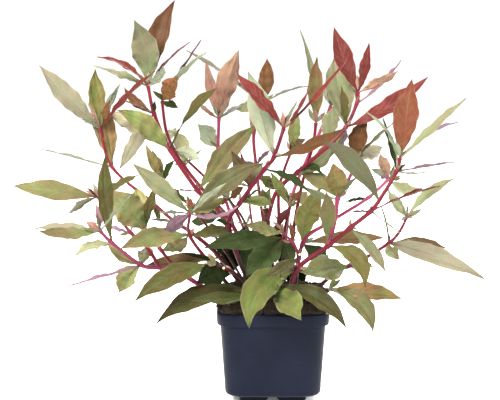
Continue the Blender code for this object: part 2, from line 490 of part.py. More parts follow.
def line_of_sight(point):
    """The direction in which the eye looks at a point."""
    return (point - EYE).normalized()


def material(name, colour, roughness):
    made = bpy.data.materials.new(name)
    made.use_nodes = True
    shader = made.node_tree.nodes["Principled BSDF"]
    shader.inputs["Base Color"].default_value = (*colour, 1)
    shader.inputs["Roughness"].default_value = roughness
    shader.inputs["Metallic"].default_value = 0
    return made


def piece(name, bm, colour=None, roughness=0.5):
    """A closed mesh as an object, with its faces turned outwards."""
    bmesh.ops.recalc_face_normals(bm, faces=bm.faces)
    bmesh.ops.triangulate(bm, faces=bm.faces)
    mesh = bpy.data.meshes.new(name)
    bm.to_mesh(mesh)
    bm.free()
    made = bpy.data.objects.new(name, mesh)
    bpy.context.scene.collection.objects.link(made)
    if colour:
        mesh.materials.append(material(name, colour, roughness))
    return made


def loft(rings, point=None):
    """A closed skin over rings of equally many points, capped at both ends or drawn to a point."""
    bm = bmesh.new()
    rows = [[bm.verts.new(p) for p in ring] for ring in rings]
    count = len(rows[0])
    for low, high in zip(rows, rows[1:]):
        for i in range(count):
            j = (i + 1) % count
            bm.faces.new((low[i], low[j], high[j], high[i]))
    bm.faces.new(rows[0][::-1])
    if point is None:
        bm.faces.new(rows[-1])
    else:
        tip = bm.verts.new(point)
        for i in range(count):
            bm.faces.new((rows[-1][i], rows[-1][(i + 1) % count], tip))
    return bm


def combine(target, other, operation):
    """Joins or cuts the target with another object, which is then removed."""
    step = target.modifiers.new(operation.lower(), "BOOLEAN")
    step.operation = operation
    step.object = other
    view = bpy.context.evaluated_depsgraph_get()
    view.update()
    bm = bmesh.new()
    bm.from_object(target, view)
    bmesh.ops.triangulate(bm, faces=bm.faces)
    target.modifiers.clear()
    bm.to_mesh(target.data)
    bm.free()
    spent = other.data
    bpy.data.objects.remove(other)
    bpy.data.meshes.remove(spent)


def rounded_square(width, corner, height, steps=3):
    """Points around a level square with round corners, the same number for any size."""
    half = width / 2 - corner
    points = []
    for quarter, (sx, sy) in enumerate(((1, 1), (-1, 1), (-1, -1), (1, -1))):
        for step in range(steps + 1):
            turn = pi / 2 * (quarter + step / steps)
            points.append(Vector((sx * half + corner * cos(turn), sy * half + corner * sin(turn), height)))
    return points


def make_pot():
    rings = [
        rounded_square(FOOT_WIDTH - 2 * ROUNDING, FOOT_CORNER, 0),
        rounded_square(FOOT_WIDTH, FOOT_CORNER, FOOT_HEIGHT),
        rounded_square(WALL_BOTTOM - 2 * BELLY, CORNER - BELLY, FOOT_HEIGHT),
        rounded_square(WALL_BOTTOM, CORNER, FOOT_HEIGHT + BELLY),
        rounded_square(WALL_TOP, CORNER, UNDER_RIM),
        rounded_square(POT_RIM - ROUNDING, CORNER, UNDER_RIM),
        rounded_square(POT_RIM, CORNER, POT_HEIGHT - ROUNDING),
        rounded_square(POT_RIM - ROUNDING, CORNER, POT_HEIGHT),
        rounded_square(MOUTH, CORNER, POT_HEIGHT),
        rounded_square(WALL_TOP - 2 * WALL, CORNER, UNDER_RIM),
        rounded_square(WALL_BOTTOM - 2 * WALL, CORNER, INNER_FLOOR),
    ]
    pot = piece("pot", loft(rings), (0.040, 0.048, 0.076), 0.45)
    length = 2 * NOTCH_REACH
    for quarter in range(4):
        bm = bmesh.new()
        bmesh.ops.create_cube(bm, size=1)
        bmesh.ops.scale(bm, vec=(length, NOTCH_WIDTH, 2 * NOTCH_DEPTH), verts=bm.verts)
        bmesh.ops.translate(bm, vec=(FOOT_WIDTH / 2 - NOTCH_REACH + length / 2, 0, 0), verts=bm.verts)
        bmesh.ops.rotate(bm, matrix=Matrix.Rotation(quarter * pi / 2, 3, "Z"), verts=bm.verts)
        combine(pot, piece("notch", bm), "DIFFERENCE")
    return pot


def make_soil():
    """The root ball fills the pot up to the rim, and the cake above it is uneven."""
    rng = np.random.default_rng(7)
    clear = 2 * (WALL + GAP)
    base = POT_HEIGHT + GAP
    rings = [
        rounded_square(WALL_BOTTOM - clear, CORNER, INNER_FLOOR + GAP),
        rounded_square(WALL_TOP - clear, CORNER, UNDER_RIM),
        rounded_square(MOUTH - 2 * GAP, CORNER, POT_HEIGHT),
        rounded_square(MOUTH - 2 * GAP, CORNER, base),
        rounded_square(CAKE_WIDTH, CORNER, base + CLOD / 2),
    ]
    for share, rise in ((1.0, 0.55), (0.92, 1.0)):
        ring = rounded_square(CAKE_WIDTH * share, CORNER, base + CAKE_HEIGHT * rise)
        for point in ring:
            point.xy *= 1 + rng.uniform(-CAKE_RAGGED, CAKE_RAGGED)
            point.z += rng.uniform(-CLOD, CLOD) / 2
        rings.append(ring)
    for share in (0.62, 0.30):
        top = base + CAKE_HEIGHT + CAKE_CROWN * (1 - share)
        ring = rounded_square(CAKE_WIDTH * share, CORNER * share, top)
        for point in ring:
            point.z += rng.uniform(-CLOD, CLOD)
        rings.append(ring)
    crown = Vector((0, 0, base + CAKE_HEIGHT + CAKE_CROWN))
    return piece("soil", loft(rings, crown), (0.022, 0.015, 0.010), 0.95)


def thin_out(target):
    """Takes out the corners and edges that the joins left inside flat faces."""
    bm = bmesh.new()
    bm.from_mesh(target.data)
    bmesh.ops.dissolve_limit(bm, angle_limit=FLATNESS, verts=bm.verts, edges=bm.edges)
    bmesh.ops.triangulate(bm, faces=bm.faces)
    bm.to_mesh(target.data)
    bm.free()


def tube(points, radii, level_start):
    """A stem: rings across a path, the first one level where it stands on soil."""
    rings = []
    side = Vector((1, 0, 0))
    for i, point in enumerate(points):
        along = points[min(i + 1, len(points) - 1)] - points[max(i - 1, 0)]
        if i == 0 and level_start:
            along = Vector((0, 0, 1))
        along.normalize()
        side = (side - along * side.dot(along)).normalized()
        across = along.cross(side)
        rings.append([point + (side * cos(a) + across * sin(a)) * radii[i]
                      for a in np.arange(STEM_SIDES) * 2 * pi / STEM_SIDES])
    return rings


def blade_share(u):
    """Width of a lance-shaped blade at a share u of its length, as a share of its widest."""
    return sin(pi * u ** 1.1) ** 1.15


def make_leaf(start, tip, spec):
    """A blade with a four sided section: both edges, and the middle above and below. One that
    is joined to its stem has three sides: both edges, and the middle below.
    Its middle line is start + (tip - start) u, bowed across the sheet by the parabola
    4 u (1 - u), and it leans away from the upright plane as u to the power 1.25."""
    reach = tip - start
    sight = line_of_sight((start + tip) / 2)
    flat = reach - sight * reach.dot(sight)
    drop = flat.normalized().cross(sight)
    bow = drop * (spec["bow"] * ((start + tip) / 2 - EYE).length / SHEET_PITCH)

    def middle(u):
        spot = start + reach * u + bow * (4 * u * (1 - u))
        lean = (tip.y - start.y) * (u ** 1.25 - u)
        return spot + sight * (lean / sight.y)

    shares = STATIONS[sum(reach.length > limit for limit in BLADE_LIMITS)]
    under = HUES[spec["hue"]][1]
    rings = []
    lift = None
    for u in shares:
        point = middle(u)
        along = (middle(u + 0.02) - middle(max(u - 0.02, 0))).normalized()
        side = along.cross(sight).normalized()
        face = side.cross(along)
        if face.dot(sight) > 0:
            face = -face
        if lift is None:
            lift = -1 if (side.z > 0) != under else 1
        turned = side * cos(spec["turn"]) + face * (sin(spec["turn"]) * lift)
        normal = face * cos(spec["turn"]) - side * (sin(spec["turn"]) * lift)
        if under:
            normal = -normal
        half = max(spec["wide"] * blade_share(u), PETIOLE) / 2
        thick = MIDRIB * (1.3 if u == 0 else 1)
        rise = normal * (half * CUPPING if u and spec["name"] else 0)
        edges = point + turned * half + rise, point - turned * half + rise
        if spec["name"]:
            rings.append([edges[0], point + normal * thick, edges[1], point - normal * thick])
        else:
            rings.append([*edges, point - normal * 2 * thick])
    return loft(rings, tip)


def clear_start(origin, goal, along, radius, half):
    """Where a branch that leaves a stem at origin for goal starts, clear of the stem."""
    away = (goal - origin).normalized()
    slant = max(away.angle(along), 0.01)
    slant = min(slant, pi - slant)
    reach = (radius + GAP) / sin(slant) + half / tan(slant)
    return origin + away * min(reach, LONGEST_SETBACK)


def make_plant(soil):
    grown = {}
    ground = BVHTree.FromPolygons([v.co for v in soil.data.vertices],
                                  [f.vertices for f in soil.data.polygons])
    for name, spec in PLANT.items():
        points = [seen(*p) for p in spec["path"]]
        thick = np.linspace(*spec["thick"], len(points)) * MM / 2
        used = {blade["at"] for blade in spec["leaves"]}
        radii = [r * (NODE_SWELLING if i in used else 1) for i, r in enumerate(thick)]
        if "fork" in spec:
            parent, at = spec["fork"]
            trunk, trunk_radii = grown[parent]
            along = trunk[min(at + 1, len(trunk) - 1)] - trunk[max(at - 1, 0)]
            points[0] = clear_start(trunk[at], points[1], along, trunk_radii[at], radii[0])
        else:
            down = Vector((0, 0, -1))
            ring = tube(points, radii, True)[0]
            heights = [ground.ray_cast(Vector((p.x, p.y, 1)), down)[0].z for p in ring + [points[0]]]
            points[0].z = max(heights) + GAP
        grown[name] = points, radii
        stem = piece(name, loft(tube(points, radii, "fork" not in spec)),
                     STEM_COLOUR, 0.35)
        for number, blade in enumerate(spec["leaves"]):
            at = blade["at"]
            origin, tip = points[at], seen(*blade["tip"])
            along = (points[min(at + 1, len(points) - 1)] - points[max(at - 1, 0)]).normalized()
            if blade["name"] is None:
                root = origin - along * (ROOT_DEPTH + ROOT_STEP * (number % 4))
                combine(stem, piece("blade", make_leaf(root, tip, blade)), "UNION")
                continue
            start = clear_start(origin, tip, along, radii[at], PETIOLE)
            piece(blade["name"], make_leaf(start, tip, blade), HUES[blade["hue"]][0], 0.45)
        thin_out(stem)


for old in list(bpy.data.objects):
    bpy.data.objects.remove(old)
make_pot()
make_plant(make_soil())
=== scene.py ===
import bpy
import numpy as np
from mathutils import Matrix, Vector


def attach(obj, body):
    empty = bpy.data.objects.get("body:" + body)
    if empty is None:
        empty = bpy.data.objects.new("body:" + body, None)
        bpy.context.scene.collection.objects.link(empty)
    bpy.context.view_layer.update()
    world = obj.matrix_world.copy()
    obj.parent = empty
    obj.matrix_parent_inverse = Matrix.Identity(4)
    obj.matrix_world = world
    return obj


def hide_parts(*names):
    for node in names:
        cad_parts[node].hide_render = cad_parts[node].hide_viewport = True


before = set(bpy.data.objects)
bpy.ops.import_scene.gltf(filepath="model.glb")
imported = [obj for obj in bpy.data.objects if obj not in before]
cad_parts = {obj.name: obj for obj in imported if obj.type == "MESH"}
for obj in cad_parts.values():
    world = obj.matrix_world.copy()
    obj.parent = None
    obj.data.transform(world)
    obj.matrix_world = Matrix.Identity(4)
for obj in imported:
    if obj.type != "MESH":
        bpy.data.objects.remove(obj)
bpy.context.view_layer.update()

mm = 0.001

# The plant is laid out on an upright drawing sheet: a point is the column and row where it
# shows, and how many millimetres it lies behind the pot's axis (minus is nearer).
sheet = dict(
    eyeDistance=1.2,                             # metres from the point that the eye aims at
    eyeTilt=np.radians(8),                       # looks down by this much
    aim=np.array([-0.019, 0, 0.1664]),
    middle=(250, 200),                           # column and row at the aim
    pitch=1432,                                  # columns across one metre, one metre away
    columns=500,                                 # across the whole sheet
)
forward = np.array([0, np.cos(sheet["eyeTilt"]), -np.sin(sheet["eyeTilt"])])
upward = np.array([0, np.sin(sheet["eyeTilt"]), np.cos(sheet["eyeTilt"])])
rightward = np.array([1.0, 0, 0])
eye = sheet["aim"] - forward * sheet["eyeDistance"]


def leaf(at, tip, wide, bow, turn, hue, light=1.0, node=None, **looks):
    # at: the stem's point it grows from; wide in mm; bow of its middle in columns; turn in
    # degrees away from the eye; light: its brightness, partly its own colour and partly painted
    # light and shade (below one paints shade, above one paints light); node: the solid it stands
    # for; looks: changes to bladeLooks
    return dict(at=at, tip=tip, wide=wide * mm, bow=bow, turn=np.radians(turn), hue=hue,
                light=light, node=node, **looks)


# The light numbers of stems and leaves paint light and shade into their colours: low ones paint the shade
# deep in the plant, high ones paint light on parts that lie in shade. The dark leaves at the foot of the
# stems, most with a light far below one, are dark sheets that stand in for the shade in the plant's core.
plant = {
    "stem_low_left": dict(thick=(3.9, 2.2), skin="pink", fresh=0.03, light=0.7, stubs=[(171, 271, -42)],
        path=[(236, 297, -34), (178, 272, -40), (160, 268, -46),
              (141, 265, -52), (112, 243, -66), (100, 231, -72)],
        leaves=[
        leaf(4, (106, 153, -82), 13.4, 4, 20, "moss", 0.8, node="leaf_left_upright"),
        leaf(4, (75, 256, -92), 10.1, -3.5, 40, "sage", 1.5),
        leaf(5, (32, 229, -74), 10.9, -2, 50, "taupe", 1.25),
        leaf(5, (37, 231, -98), 11.8, 3.5, 35, "olive"), leaf(5, (86, 222, -66), 7.6, 0, 30, "coral"),
        leaf(5, (95, 203, -58), 7.6, -1, 40, "mauve"), leaf(5, (131, 195, -102), 8.4, 0, 82, "pale"),
        leaf(3, (64, 287, -86), 10.1, 1, 78, "mauve", 1.5),
        leaf(3, (119, 293, -50), 17.6, -3, 20, "olive", 1.4),
        leaf(3, (107, 242, -44), 10.1, 4, 30, "olive", 1.8),
        leaf(3, (149, 246, -12), 12.6, 0, 20, "olive", 1.1),
    ]),
    "stem_mid_left": dict(thick=(3.0, 1.8), skin="crimson", fork=("stem_low_left", 2),
        path=[(160, 268, -46), (148, 249, -42), (131, 233, -36), (113, 211, -28), (97, 197, -22)],
        leaves=[
        leaf(4, (12, 186, -34), 16.8, -0.5, 15, "olive", 0.98, crumple=0.012, node="leaf_far_left"),
        leaf(4, (68, 214, 4), 8.4, -1, 45, "taupe"), leaf(4, (93, 183, -2), 5, 0, 30, "pale"),
        leaf(4, (87, 188, -38), 4.2, 0, 60, "maroon"), leaf(4, (140, 174, -10), 10.1, 0, 55, "moss", 0.9),
        leaf(2, (107, 227, -14), 6.7, 0, 60, "mauve"),
    ]),
    "stem_short_left": dict(thick=(3.0, 2.0), skin="crimson", fork=("stem_low_left", 1),
        path=[(178, 272, -40), (161, 250, -32), (146, 230, -26)],
        leaves=[
        leaf(2, (156, 186, -40), 10.9, 3, 40, "moss", 1.25),
        leaf(2, (111, 190, -46), 26.9, 0, 10, "olive", 1.6, crumple=0.012, node="leaf_left_broad"),
        leaf(2, (136, 187, -8), 18.5, 0, 20, "green", 2.2, node="leaf_left_back"),
        leaf(1, (188, 237, -18), 15.1, -3, 30, "olive"),
    ]),
    "stem_front_left": dict(thick=(3.4, 2.0), skin="crimson", stubs=[(209, 265, -33), (215, 269, -31)],
        path=[(244, 294, -20), (214, 268, -30), (190, 236, -38), (190, 213, -44)],
        leaves=[
        leaf(2, (120, 249, -76), 16.8, -5, 15, "olive", 1.2, node="leaf_left_olive"),
        leaf(2, (234, 230, -20), 14.3, 0, 40, "moss", 0.85),
        leaf(3, (132, 163, -58), 14.3, 0, 15, "sage", 1.0),
        leaf(3, (264, 163, -44), 18.5, 5, 20, "olive", 0.5, node="leaf_centre_olive"),
        leaf(3, (226, 183, -70), 8.4, 0, 50, "pale", 1.5),
        leaf(3, (238, 206, -84), 10.1, -8, 66, "mauve", 1.5),
        leaf(3, (163, 230, -64), 12.6, 2, 25, "mauve", 0.8),
        leaf(3, (159, 213, -34), 8.4, 0, 76, "pale"), leaf(3, (191, 197, -50), 5, 0, 20, "orange"),
        leaf(3, (225, 197, -26), 10.9, -2, 25, "olive", 1.9),
    ]),
    "stem_far_left": dict(thick=(3.7, 2.0), skin="crimson",
        path=[(250, 290, 0), (221, 258, -8), (192, 233, -8), (175, 222, -4),
              (153, 203, 2), (112, 167, 12), (100, 128, 16)],
        leaves=[
        leaf(6, (39, 65, 8), 17.6, 2, 15, "taupe", 1.0, crumple=0.012, node="leaf_upper_left"),
        leaf(6, (95, 69, 38), 15.1, 1, 15, "moss", 1.4),
        leaf(6, (155, 71, -22), 9.2, 2, 58, "red", 0.9), leaf(6, (120, 84, 46), 10.1, 0, 55, "pale"),
        leaf(6, (82, 119, -2), 5.9, 0, 50, "pale"), leaf(6, (88, 103, 0), 5, 0, 50, "coral"),
        leaf(6, (110, 100, 18), 6.7, 0, 30, "brown"), leaf(5, (105, 101, 30), 13.4, 0, 20, "bronze", 1.3),
        leaf(5, (90, 112, 42), 10.1, 0, 40, "bronze", 2.2),
        leaf(5, (41, 149, 60), 7.6, 0, 80, "pale"), leaf(3, (150, 219, -22), 4.2, 0, 40, "pale"),
        leaf(4, (160, 222, 14), 6.7, 0, 40, "olive"),
        leaf(1, (142, 267, -18), 12.6, -2, 30, "bronze", 0.95, node="leaf_low_left_bronze"),
    ]),
    "stem_inner_left": dict(thick=(2.2, 1.7), skin="maroon",
        path=[(254, 290, -8), (222, 246, -16), (190, 206, -18), (164, 182, -20)],
        leaves=[
        leaf(3, (146, 144, -24), 7.6, 2, 20, "bronze", 1.3),
        leaf(3, (152, 150, -4), 8.4, 0, 25, "moss"), leaf(3, (175, 160, -36), 6.7, 2, 35, "dark"),
        leaf(2, (166, 186, -34), 7.6, 0, 50, "moss", 0.9),
    ]),
    "stem_tall_left": dict(thick=(3.9, 2.4), skin="crimson",
        path=[(258, 288, 8), (236, 245, 9), (219, 212, 10), (198, 191, 12),
              (170, 150, 14), (154, 113, 16), (148, 86, 18)],
        leaves=[
        leaf(6, (175, 0, 34), 18.1, 5, 10, "brown", 0.7, node="leaf_top_brown"),
        leaf(6, (134, 20, 2), 22.7, -5, 10, "sage", 0.85, crumple=0.012, node="leaf_top_left"),
        leaf(6, (163, 66, -12), 11.8, -4, 50, "pale", 1.5),
        leaf(6, (97, 57, -12), 8.4, -6, 55, "red", 1.5), leaf(6, (102, 68, 24), 10.1, 0, 52, "sage"),
        leaf(6, (92, 65, 56), 8.4, 0, 75, "pale"), leaf(6, (190, 42, -2), 6.7, 3, 82, "maroon"),
        leaf(5, (118, 98, 18), 6.7, 0, 82, "coral"), leaf(5, (124, 87, 32), 8.8, 4, 25, "brown"),
        leaf(5, (155, 101, 8), 4.2, 0, 30, "dark"),
        leaf(4, (117, 110, -14), 18.5, -4, 15, "green", 1.4, node="leaf_upper_left_green"),
        leaf(4, (107, 113, 34), 20.2, -4, 30, "taupe", 1.7, node="leaf_upper_left_taupe"),
        leaf(5, (119, 170, 10), 12.6, 0, 20, "taupe", 1.05),
        leaf(4, (217, 88, -22), 10.9, 6, 35, "moss", 0.65, petiole=0.36),
        leaf(3, (174, 190, -8), 4.2, 0, 80, "maroon"),
        leaf(3, (258, 124, -30), 18.5, 3, 15, "olive", 0.85, node="leaf_centre_inner"),
        leaf(3, (213, 160, 34), 5, 0, 70, "maroon"), leaf(1, (226, 278, -4), 18.5, 0, 20, "dark", 0.15),
    ]),
    "stem_back_tall_left": dict(thick=(3.5, 2.2), skin="crimson", light=1.1,
        path=[(262, 284, 18), (243, 245, 22), (225, 214, 24), (204, 191, 26),
              (184, 166, 28), (174, 150, 30), (166, 130, 31), (162, 101, 32)],
        leaves=[
        leaf(7, (178, 77, 8), 16.8, 0, 20, "brown", 1.9),
        leaf(7, (208, 51, 34), 9.2, 3.5, 60, "pale", 1.35),
        leaf(7, (201, 40, 66), 6.7, 0, 82, "maroon"), leaf(7, (178, 108, 12), 7.6, 0, 30, "dark"),
        leaf(4, (173, 132, 54), 14.3, -5, 15, "sage", 1.6),
        leaf(5, (200, 160, 10), 10.9, 2, 30, "pale", 1.5), leaf(4, (202, 149, 46), 3.4, 0, 30, "pale"),
        leaf(1, (212, 248, 74), 15.1, -4, 30, "dark", 0.2),
        leaf(2, (191, 222, 72), 15.1, 0, 30, "dark", 1.3),
    ]),
    "stem_back_left": dict(thick=(2.5, 2.0), skin="crimson", light=1.25,
        path=[(266, 281, 30), (246, 234, 46), (229, 200, 56),
              (210, 182, 62), (190, 163, 68), (166, 142, 74)],
        leaves=[
        leaf(5, (152, 137, 92), 8.4, 0, 40, "sage"), leaf(5, (176, 128, 96), 10.1, 0, 30, "sage", 1.5),
        leaf(1, (262, 252, 100), 16.8, 0, 20, "dark", 0.5),
    ]),
    "stem_back_pink": dict(thick=(2.9, 2.5), skin="pink",
        path=[(270, 280, 38), (240, 243, 56), (229, 210, 66),
              (217, 172, 76), (218, 148, 80), (219, 118, 82)],
        leaves=[
        leaf(5, (206, 60, 94), 10.1, 2, 20, "coral"),
        leaf(5, (239, 50, 72), 19.7, 2, 10, "rose", node="leaf_back_rose"),
        leaf(5, (198, 100, 64), 5.9, 3, 50, "coral"), leaf(5, (211, 95, 86), 5, 0, 30, "coral"),
        leaf(5, (230, 97, 62), 5.9, 0, 30, "rose"), leaf(5, (248, 102, 122), 6.7, 0, 50, "taupe"),
        leaf(4, (198, 124, 98), 16.8, 0, 20, "pale", 1.2),
        leaf(1, (222, 262, 108), 16.8, -4, 20, "dark", 0.3),
    ]),
    "stem_brown_back": dict(thick=(2.5, 1.8), skin="brown",
        path=[(270, 284, 22), (246, 225, 34), (229, 199, 38)],
        leaves=[
        leaf(2, (244, 187, 22), 9.2, 0, 30, "brown"), leaf(2, (216, 205, 30), 6.7, 0, 30, "brown"),
        leaf(1, (231, 262, 50), 16.8, 0, 20, "dark", 0.35),
    ]),
    "stem_front_arch": dict(thick=(3.7, 2.4), skin="maroon",
        path=[(258, 294, -14), (239, 260, -34), (229, 224, -50), (240, 203, -57),
              (265, 169, -62), (274, 157, -64), (284, 128, -68)],
        leaves=[
        leaf(6, (235, 72, -62), 14.3, 0, 45, "red", 1.25),
        leaf(6, (268, 103, -50), 4.2, 0, 60, "pale"), leaf(6, (309, 88, -84), 5.5, -3, 58, "red"),
        leaf(6, (347, 59, -88), 6.7, -3, 62, "red", 1.3), leaf(6, (297, 101, -58), 4.2, 0, 60, "pale"),
        leaf(5, (248, 71, -30), 20.2, 0, 15, "pale", node="leaf_centre_pale"),
        leaf(5, (346, 128, -92), 11.8, -4, 40, "brown", 0.75),
        leaf(4, (309, 192, -78), 9.2, 3, 50, "dark"), leaf(3, (262, 187, -74), 4.2, 0, 70, "dark"),
        leaf(3, (273, 206, -60), 10.1, 3, 30, "green"), leaf(2, (216, 220, -62), 5.9, 0, 40, "dark"),
    ]),
    "stem_thin_centre": dict(thick=(2.2, 1.7), skin="dusty",
        path=[(266, 288, 6), (255, 240, 8), (250, 208, 10), (249, 186, 12)],
        leaves=[
        leaf(3, (231, 150, -40), 10.9, 0, 15, "bronze", 1.1),
        leaf(3, (263, 163, 22), 10.1, 0, 30, "sage"), leaf(3, (253, 162, 4), 5.9, 0, 30, "coral"),
        leaf(3, (240, 150, 22), 4.2, 0, 40, "red"), leaf(3, (236, 184, 8), 4.2, 0, 50, "pale"),
        leaf(1, (243, 272, -6), 15.1, 0, 20, "dark", 1.0),
    ]),
    "stem_back_centre": dict(thick=(2.7, 2.4), skin="crimson",
        path=[(276, 281, 36), (274, 270, 42), (264, 225, 56),
              (256, 165, 74), (254, 132, 82), (262, 104, 86)],
        leaves=[
        leaf(5, (186, 50, 112), 8.4, -2, 60, "taupe", 0.82),
        leaf(5, (267, 58, 90), 14.3, -2, 10, "brown", 0.85),
        leaf(5, (309, 86, 98), 6.7, 3, 83, "pale"), leaf(5, (237, 110, 96), 11.8, 0, 30, "sage"),
        leaf(4, (249, 112, 70), 4.2, 0, 40, "coral"), leaf(3, (271, 149, 60), 7.6, 0, 60, "mauve"),
        leaf(3, (243, 160, 64), 8.4, 2, 60, "mauve"), leaf(1, (246, 291, 104), 20.2, -6, 10, "dark", 0.7),
        leaf(1, (304, 292, 100), 20.2, 6, 10, "dark", 0.15),
        leaf(2, (268, 262, 118), 16.8, 0, 20, "dark", 0.8),
    ]),
    "stem_cut_centre": dict(thick=(4.2, 3.5), skin="brown", cut=True,
        path=[(270, 292, -4), (267, 222, -6), (265, 208, -7)],
        leaves=[
        leaf(2, (270, 188, -12), 7.6, 0, 20, "green"), leaf(2, (262, 188, -26), 8.4, 0, 20, "green"),
        leaf(1, (283, 262, -8), 16.8, 0, 20, "dark", 0.2),
    ]),
    "stem_upright_centre": dict(thick=(3.0, 2.0), skin="crimson",
        path=[(281, 287, 14), (279, 222, 14), (279, 190, 14), (285, 168, 16), (291, 152, 18)],
        leaves=[
        leaf(4, (298, 113, 22), 10.9, 0, 15, "green", 1.2),
        leaf(4, (305, 139, 2), 10.1, 0, 35, "bronze", 0.85), leaf(2, (268, 180, -2), 7.6, 0, 60, "maroon"),
        leaf(2, (257, 176, 4), 10.9, 0, 30, "moss", 1.4), leaf(1, (263, 258, 2), 16.8, 0, 20, "dark", 0.8),
    ]),
    "stem_centre_right": dict(thick=(2.7, 2.0), skin="crimson",
        path=[(284, 295, -16), (284, 238, -24), (290, 207, -30)],
        leaves=[
        leaf(2, (270, 171, -38), 7.6, 0, 15, "lime"), leaf(2, (301, 190, -24), 7.6, 0, 40, "brown"),
        leaf(2, (277, 226, -36), 8.4, 0, 30, "maroon"), leaf(2, (283, 184, -20), 5, 0, 40, "olive"),
        leaf(1, (203, 248, -96), 16.8, -2, 20, "dark", 1.6, node="leaf_centre_arching"),
        leaf(1, (246, 277, -56), 22.7, 0, 20, "dark", 2.0),
        leaf(1, (291, 264, -33), 12.6, 0, 20, "dark", 1.5),
    ]),
    "stem_long_right": dict(thick=(3.4, 2.2), skin="crimson", fork=("stem_cut_centre", 1),
        path=[(267, 222, -6), (277, 191, -12), (298, 172, -20), (327, 147, -26),
              (346, 127, -24), (357, 103, -20), (358, 92, -18)],
        leaves=[
        leaf(6, (334, 27, -8), 16, 2, 15, "red", crumple=0.012, node="leaf_top_red"),
        leaf(6, (369, 43, -32), 10.1, -2, 30, "red"), leaf(6, (398, 71, -50), 10.9, -2, 45, "rose", 1.35),
        leaf(5, (401, 60, 2), 10.1, -4, 74, "mauve", 1.6), leaf(5, (353, 75, 10), 5, 0, 40, "brown"),
        leaf(4, (428, 77, -14), 15.1, -5, 25, "red", 1.3, crumple=0.012, node="leaf_right_red"),
        leaf(4, (340, 150, -8), 10.1, 0, 40, "mauve"),
        leaf(4, (334, 57, 22), 23.9, 0, 10, "sage", 0.85, node="leaf_top_sage"),
        leaf(4, (341, 86, -38), 10.1, 0, 40, "moss", 1.0),
        leaf(3, (334, 105, 8), 15.1, 0, 20, "sage", 0.85), leaf(4, (296, 176, 6), 14.3, 6, 30, "sage", 1.1),
        leaf(2, (323, 176, -34), 10.1, 6, 55, "dark", 1.4),
    ]),
    "stem_pink_right": dict(thick=(3.2, 2.5), skin="pink",
        path=[(284, 283, 32), (286, 235, 48), (292, 197, 60),
              (304, 166, 66), (320, 132, 70), (331, 106, 72)],
        leaves=[
        leaf(5, (345, 76, 104), 10.1, 0, 40, "sage", 0.9), leaf(5, (316, 78, 108), 10.1, 0, 40, "taupe"),
        leaf(2, (316, 203, 112), 14.3, 0, 30, "moss", 2.0),
    ]),
    "stem_upright_right": dict(thick=(2.9, 2.4), skin="crimson", fresh=0.01,
        path=[(291, 286, 22), (293, 235, 34), (302, 185, 40), (313, 145, 42), (316, 123, 42)],
        leaves=[
        leaf(4, (317, 57, 30), 15.5, 0, 25, "bronze"), leaf(4, (300, 30, 60), 8.4, -4, 45, "sage", 1.05),
        leaf(1, (283, 268, 22), 16.8, 0, 20, "dark", 0.8),
    ]),
    "stem_front_right": dict(thick=(3.8, 2.4), skin="crimson", fresh=0.04, light=0.78,
        path=[(288, 301, -34), (297, 270, -40), (328, 246, -46), (350, 228, -56),
              (371, 211, -64), (384, 193, -64), (397, 171, -62), (400, 158, -60)],
        leaves=[
        leaf(7, (412, 79, -54), 20.6, 0, 10, "orange", 0.7, crumple=0.012, node="leaf_right_orange"),
        leaf(7, (466, 98, -84), 10.1, -0.5, 50, "sage", 1.3),
        leaf(7, (458, 122, -38), 9.2, 5, 74, "mauve"), leaf(6, (455, 162, -72), 7.6, 0, 80, "mauve"),
        leaf(6, (428, 172, -46), 5, -2, 80, "pale"), leaf(6, (383, 118, -22), 8.4, 0, 55, "dark"),
        leaf(6, (362, 110, -40), 6.7, -12, 70, "pale"), leaf(6, (406, 164, -66), 3.4, 0, 40, "dark"),
        leaf(4, (440, 186, -88), 8.4, 2, 80, "maroon"), leaf(4, (409, 240, -60), 3.4, 0, 84, "pale"),
        leaf(4, (350, 212, -66), 3.4, 0, 60, "maroon"), leaf(3, (386, 273, -72), 10.9, 3, 30, "sage", 0.85),
        leaf(2, (365, 288, -82), 16, 13, 20, "moss", 1.1),
        leaf(2, (326, 191, -76), 14.3, 0, 25, "olive", 1.0, widest=1.4),
        leaf(1, (249, 328, -98), 26, -16, 10, "lime", 0.88, node="leaf_front_lime"),
    ]),
    "stem_cut_right": dict(thick=(3.5, 1.8), skin="pink", fresh=0.02, light=0.9, stubs=[(300, 256, -30)],
        path=[(294, 296, -20), (297, 268, -26), (299, 257, -28), (293, 243, -34), (283, 233, -40)],
        leaves=[
        leaf(4, (245, 224, -72), 11.8, 1, 30, "olive", 1.15),
        leaf(2, (266, 277, -104), 10.9, 1, 15, "moss", 0.78),
        leaf(3, (290, 221, -44), 4.2, 0, 30, "orange"),
    ]),
    "stem_mid_right": dict(thick=(3.2, 2.2), skin="pink", light=1.15,
        path=[(293, 291, -2), (303, 243, -10), (327, 224, -16),
              (338, 217, -16), (368, 198, -14), (389, 179, -10)],
        leaves=[
        leaf(5, (380, 154, -20), 10.1, 0, 15, "rose"), leaf(5, (371, 169, 2), 7.6, 0, 40, "pale"),
        leaf(5, (381, 176, -16), 6.7, 0, 40, "mauve"), leaf(5, (423, 188, 10), 11.8, -6, 30, "sage", 1.9),
        leaf(4, (344, 202, 2), 5.9, 0, 60, "dark"), leaf(1, (386, 238, 22), 12.6, 2, 25, "bronze", 1.5),
        leaf(1, (321, 187, -44), 21, 5, 20, "moss", 1.9, node="leaf_centre_moss"),
        leaf(1, (297, 207, 6), 7.6, 0, 40, "brown"), leaf(1, (332, 262, 58), 16.8, -3, 20, "dark", 1.3),
    ]),
    "stem_rising_right": dict(thick=(3.7, 2.0), skin="pink", fork=("stem_front_right", 2), light=0.85,
        path=[(328, 246, -46), (335, 220, -46), (338, 198, -44),
              (345, 186, -34), (352, 172, -22), (354, 160, -16)],
        leaves=[
